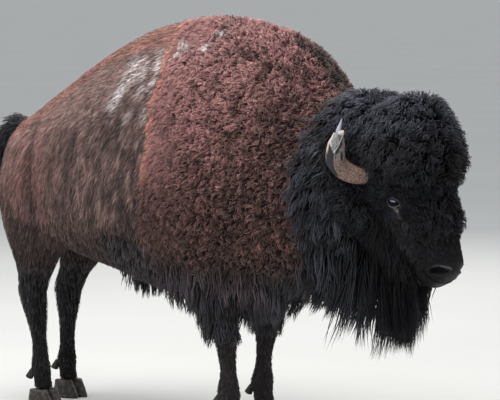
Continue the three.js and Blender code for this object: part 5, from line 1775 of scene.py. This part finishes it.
forehead_length = cut_by_eyes(changing(s_of, [-45, 80, 140, 200], [54, 50, 46, 24]))
forehead_zone, face_zone = on_face(*FOREHEAD, lowest=-0.2), on_face(*FACE, highest=0)
muzzle_zone = on_face(*MUZZLE, lowest=-0.75)
comb("forehead", lambda p, n: forehead_zone(p, n) * clear_of_eyes(p, 46), head_way(1, 0.35, 0.1), spacing=6,
     length=forehead_length, width=4.2, rise=forehead_rise, lock=26, seed=33, gather=0.4, curl=4.5, frizz=0.6,
     vary=0.35, finish=face_finish)
comb("face", lambda p, n: face_zone(p, n) * clear_of_eyes(p, 46), head_way(0.45, 0, -0.85), spacing=6,
     length=cut_by_eyes(changing(s_of, FACE, [54, 30])), width=4.2,
     rise=cut_by_eyes(changing(s_of, FACE, [18, 10])), lock=24, seed=34, curl=3.5, frizz=0.5, vary=0.3,
     finish=face_finish)
comb("muzzle", lambda p, n: muzzle_zone(p, n) * off_nostril(p), head_way(1, 0.1, -0.1), spacing=5.4,
     length=changing(s_of, MUZZLE, [27, 9]), width=3.3, rise=changing(s_of, MUZZLE, [9, 2]), lock=19, seed=35,
     gather=0.35, rings=2, sunk=2, vary=0.28, finish=face_finish)
comb("lids", lambda p, n: head_share(p) * (1 - clear_of_eyes(p, 66)) * clear_of_eyes(p, 37),
     head_way(0.7, 0.1, -0.5), spacing=4.4, length=15, width=2.6, rise=3.5, lock=13, seed=36, gather=0.35,
     rings=2, sunk=2, vary=0.25, finish=face_finish)

# %% [markdown]
# ### Ears
# An ear is nearly lost in the wool, so only its free end gets hair of its own, combed outwards to its tip.

# %% Ears
EAR_FREE_FROM, EAR_HAIR_REACH = 34, 36


def on_ear(p, n):
    """One on the free part of each ear."""
    found = np.zeros(len(p), bool)
    for side in (-1, 1):
        off = p - on_head([EAR["along"], side * EAR["lateral"], EAR["height"]])
        reach = ear_reach(side)
        out = off @ reach
        aside = np.linalg.norm(off - np.outer(out, reach), axis=1)
        found |= (out > EAR_FREE_FROM) & (aside < EAR_HAIR_REACH)
    return found


comb("ears", on_ear, head_way(-0.1, 1, -0.3), spacing=6, length=30, width=3.6, rise=6, lock=18, seed=37,
     gather=0.3, sunk=2, finish=black_finish)
print("head combed")

# %% [markdown]
# ### Beard and jaw
# The beard hangs from the chin and the throat in one heavy pillar, and a fringe softens the line of the jaw
# above it. Its lengths are a table along the head: longest below the cheeks, and down to stubble at the
# lip.

# %% Beard and jaw
BEARD_STATIONS = [-60, -8, 78, 150, 180, 205, 225, 250, 290]
BEARD_LENGTHS = [480, 550, 515, 450, 380, 260, 130, 50, 20]


def jaw_side(p):
    """One on the side of the lower jaw."""
    h = to_head(p)[:, 2]
    return (h < -95) * (h > -215) * clear_of_eyes(p, 75)


def beard_length(p, n):
    """Longest in the middle of the chin, less at its sides."""
    aside = abs(to_head(p)[:, 1])
    return np.interp(s_of(p), BEARD_STATIONS, BEARD_LENGTHS) * np.interp(aside, [0, 90], [0.98, 0.78])


beard_zone, jaw_zone = on_face(-60, 300, highest=-0.55), on_face(-40, 235, -0.75, -0.05)
comb("beard", lambda p, n: beard_zone(p, n) * clear_of_eyes(p, 90), towards(-0.06, 0, -1), spacing=4.9,
     length=beard_length, width=7.5, rise=changing(s_of, [150, 220], [14, 2]), lock=34, seed=41, gather=0.55,
     curl=9, turns=1.6, rings=6, hang=0.93, frizz=0.6, vary=0.11, uneven=0.5, finish=beard_finish)
comb("jaw_fringe", lambda p, n: jaw_zone(p, n) * jaw_side(p), towards(-0.15, 0, -1), spacing=7,
     length=changing(s_of, [-20, 60, 168, 235], [150, 190, 150, 60]), width=5.5, rise=12, lock=34, seed=42,
     gather=0.45, curl=9, turns=1.4, rings=5, hang=0.75, frizz=0.7, vary=0.24, finish=beard_finish)

# %% [markdown]
# ### Forelegs and belly
# A bull wears long hair round the top of each foreleg like a pair of chaps, and a fringe along the belly,
# with one heavy lock at the sheath.

# %% Forelegs and belly
CHAPS_REAR, CHAPS_FRONT, CHAPS_BOTTOM = -60, 470, 440
BELLY_REAR, SHEATH = -420, {"x": -430, "long": 60, "wide": 50}


def on_chaps(p, n):
    between = (x_of(p) > CHAPS_REAR) * (x_of(p) < CHAPS_FRONT) * (height_of(p) > CHAPS_BOTTOM)
    return between * blend(790, 730, height_of(p))


def on_belly(p, n):
    behind = (x_of(p) <= CHAPS_REAR) * (x_of(p) > BELLY_REAR) * (n[:, 2] < -0.35)
    return behind + (x_of(p) >= CHAPS_FRONT) * cape_share(p) * (height_of(p) < 760)


def on_sheath(p, n):
    return pulse(x_of(p), SHEATH["x"], SHEATH["long"]) * (n[:, 2] < -0.7) * (abs(p[:, 1]) < SHEATH["wide"])


comb("chaps", on_chaps, towards(-0.1, 0, -1), spacing=12.4,
     length=changing(height_of, [CHAPS_BOTTOM, 560, 760], [70, 150, 170]), width=8, rise=22, lock=44, seed=51,
     gather=0.55, curl=8, turns=1, rings=5, hang=0.7, frizz=0.5, vary=0.18, finish=black_finish)
comb("belly_fringe", on_belly, towards(-0.2, 0, -1), spacing=13,
     length=changing(x_of, [BELLY_REAR, CHAPS_REAR, CHAPS_FRONT], [30, 70, 110]), width=7, rise=12, lock=40,
     seed=54, curl=4, hang=0.5, vary=0.16, finish=black_finish)
comb("sheath", on_sheath, towards(0, 0, -1), spacing=8, length=95, width=7, rise=10, lock=30, seed=52,
     gather=0.7, curl=4, rings=4, hang=0.95, finish=black_finish)

# %% [markdown]
# ### Tail
# The tail ends in a brush. Its hair follows the tail's own line, so it fans out from the lifted root and
# droops at the tip.

# %% Tail
def tail_place(p):
    """How far along the tail a place is, or less than nothing off the tail."""
    gap, share = away_from(tail_line, p)
    return np.where(gap < 46, share, -1)


def tail_lie(p, n):
    _, share = away_from(tail_line, p)
    ways = unit(np.gradient(tail_line, axis=0))
    stops = np.linspace(0, 1, len(tail_line))
    way = np.stack([np.interp(share, stops, ways[:, k]) for k in range(3)], axis=1)
    return unit(way + np.array([0, 0, -0.5]) * share[:, None])


comb("tail_hair", lambda p, n: (tail_place(p) > 0.12) & (x_of(p) < -1150), tail_lie, spacing=6.5,
     length=changing(tail_place, [0.1, 0.4, 0.6, 1], [70, 150, 230, 240]), width=7,
     rise=changing(tail_place, [0.12, 0.5, 1], [18, 30, 30]), lock=26, seed=53, gather=0.35, curl=9,
     turns=0.9, rings=5, hang=0.5, vary=0.22, finish=black_finish)

# %% [markdown]
# ### The short coat
# Behind the cape and on the legs the hair is so short that the skin's own bump could nearly do. Thin flat
# tufts are laid over it all the same, because they break the outline, and they catch the light in streaks
# as guard hairs do.

# %% Short coat behind the cape, and on the legs
LEG_COAT_TOP, FORELEG_COAT_TOP, HOOF_TOP = 660, 470, 84


def on_flank(p, n):
    short = (1 - cape_share(p)) * blend(10, -10, ahead_of_edge(p)) * (tail_place(p) < 0.16)
    return short * (height_of(p) > 640)


def flank_lie(p, n):
    """Steeply down on the sides, and back along the spine and the rump."""
    level = blend(1150, 1600, height_of(p))[:, None]
    return unit(np.array([-0.3, 0, -1.0]) * (1 - level) + np.array([-0.9, 0, -0.55]) * level)


def on_leg(p, n):
    z = height_of(p)
    return (z > HOOF_TOP) * (z <= LEG_COAT_TOP) * ((x_of(p) < -200) | (z < FORELEG_COAT_TOP))


comb("flank_coat", on_flank, flank_lie, spacing=12, length=41, width=4.6, rise=7, lock=34, seed=61,
     gather=0.35, curl=1.5, rings=2, vary=0.14, finish=short_finish, slot="coat_short")
comb("leg_coat", on_leg, towards(-0.15, 0, -1), spacing=10.5,
     length=changing(height_of, [HOOF_TOP, 300, LEG_COAT_TOP], [16, 26, 42]), width=5,
     rise=changing(height_of, [HOOF_TOP, LEG_COAT_TOP], [3, 8]), lock=26, seed=62, gather=0.4, curl=1,
     rings=2, sunk=2, vary=0.12, finish=black_finish)

total = sum(len(face.vertices) - 2 for piece in coat_pieces for face in piece.data.polygons)
print("coat:", len(coat_pieces), "pieces,", total, "triangles")

# %% [markdown]
# ## Stage, light and camera
# The model stands on a plain pale floor that runs on to the horizon. A very large soft light overhead
# stands for a bright overcast sky. A weaker one from the camera's side opens the shadows of the dark head,
# and one from the far side parts the back from the floor behind it.

# %% Floor and light
FLOOR_REACH = 300
LIGHTS = {  # place, what it aims at, width, power, colour
    "overhead": ((-0.5, -1.5, 7), (0, 0, 1), 7, 600, (1, 0.98, 0.95)),
    "camera_side": ((6, -7, 4.5), (0.3, 0, 1), 4, 95, (0.94, 0.97, 1)),
    "far_side": ((-4, 6, 5), (0, 0, 1), 4, 180, (1, 0.98, 0.96)),
}

made = Finish("floor_paint", Roughness=0.9, Specular_IOR_Level=0.1)
floor_colour = made.mix(tone("c2c2bf"), tone("cbcbc8"), made.noise(0.7, 2))
ground = bmesh.new()
bmesh.ops.create_grid(ground, x_segments=1, y_segments=1, size=FLOOR_REACH)
floor = bpy.data.objects.new("floor", mesh_from(ground, "floor"))
floor.data.materials.append(made.feed(Base_Color=floor_colour))
bpy.context.scene.collection.objects.link(floor)

world = bpy.data.worlds.new("studio")
bpy.context.scene.world = world
world.use_nodes = True
sky = world.node_tree.nodes["Background"]
sky.inputs["Color"].default_value = (*tone("dfe3e8"), 1)
sky.inputs["Strength"].default_value = 0.9


def aimed(name, data, place, aim):
    """Stands a light or a camera at a place and turns it to face another."""
    holder = bpy.data.objects.new(name, data)
    holder.location = place
    holder.rotation_mode = "QUATERNION"
    holder.rotation_quaternion = Vector(np.subtract(aim, place)).to_track_quat("-Z", "Y")
    bpy.context.scene.collection.objects.link(holder)
    return holder


for name, (place, aim, size, power, colour) in LIGHTS.items():
    light = bpy.data.lights.new(name, "AREA")
    light.shape, light.size, light.energy, light.color = "DISK", size, power, colour
    aimed(name, light, place, aim)
bpy.context.scene.view_settings.view_transform = "Standard"
print("stage set with", len(LIGHTS), "lights")

# %% [markdown]
# The camera stands thirteen metres off, ahead of the right shoulder and a little above the back, and aims
# down at the ribs. So far away, with a long lens, the near and the far legs look about the same size. Its
# place is given on the body's own axes, like everything else.

# %% Camera
CAMERA_PLACE, CAMERA_AIM = (8993, -9421, 2013), (155, 57, 993)
LENS, SENSOR, FARTHEST = 215.17, 36, 2000

view = bpy.data.cameras.new("view")
view.lens, view.sensor_width, view.clip_end = LENS, SENSOR, FARTHEST
camera = aimed("view", view, from_body(CAMERA_PLACE), from_body(CAMERA_AIM))
bpy.context.scene.camera = camera
print("camera stands", round(camera.location.length, 2), "m from the middle of the floor")
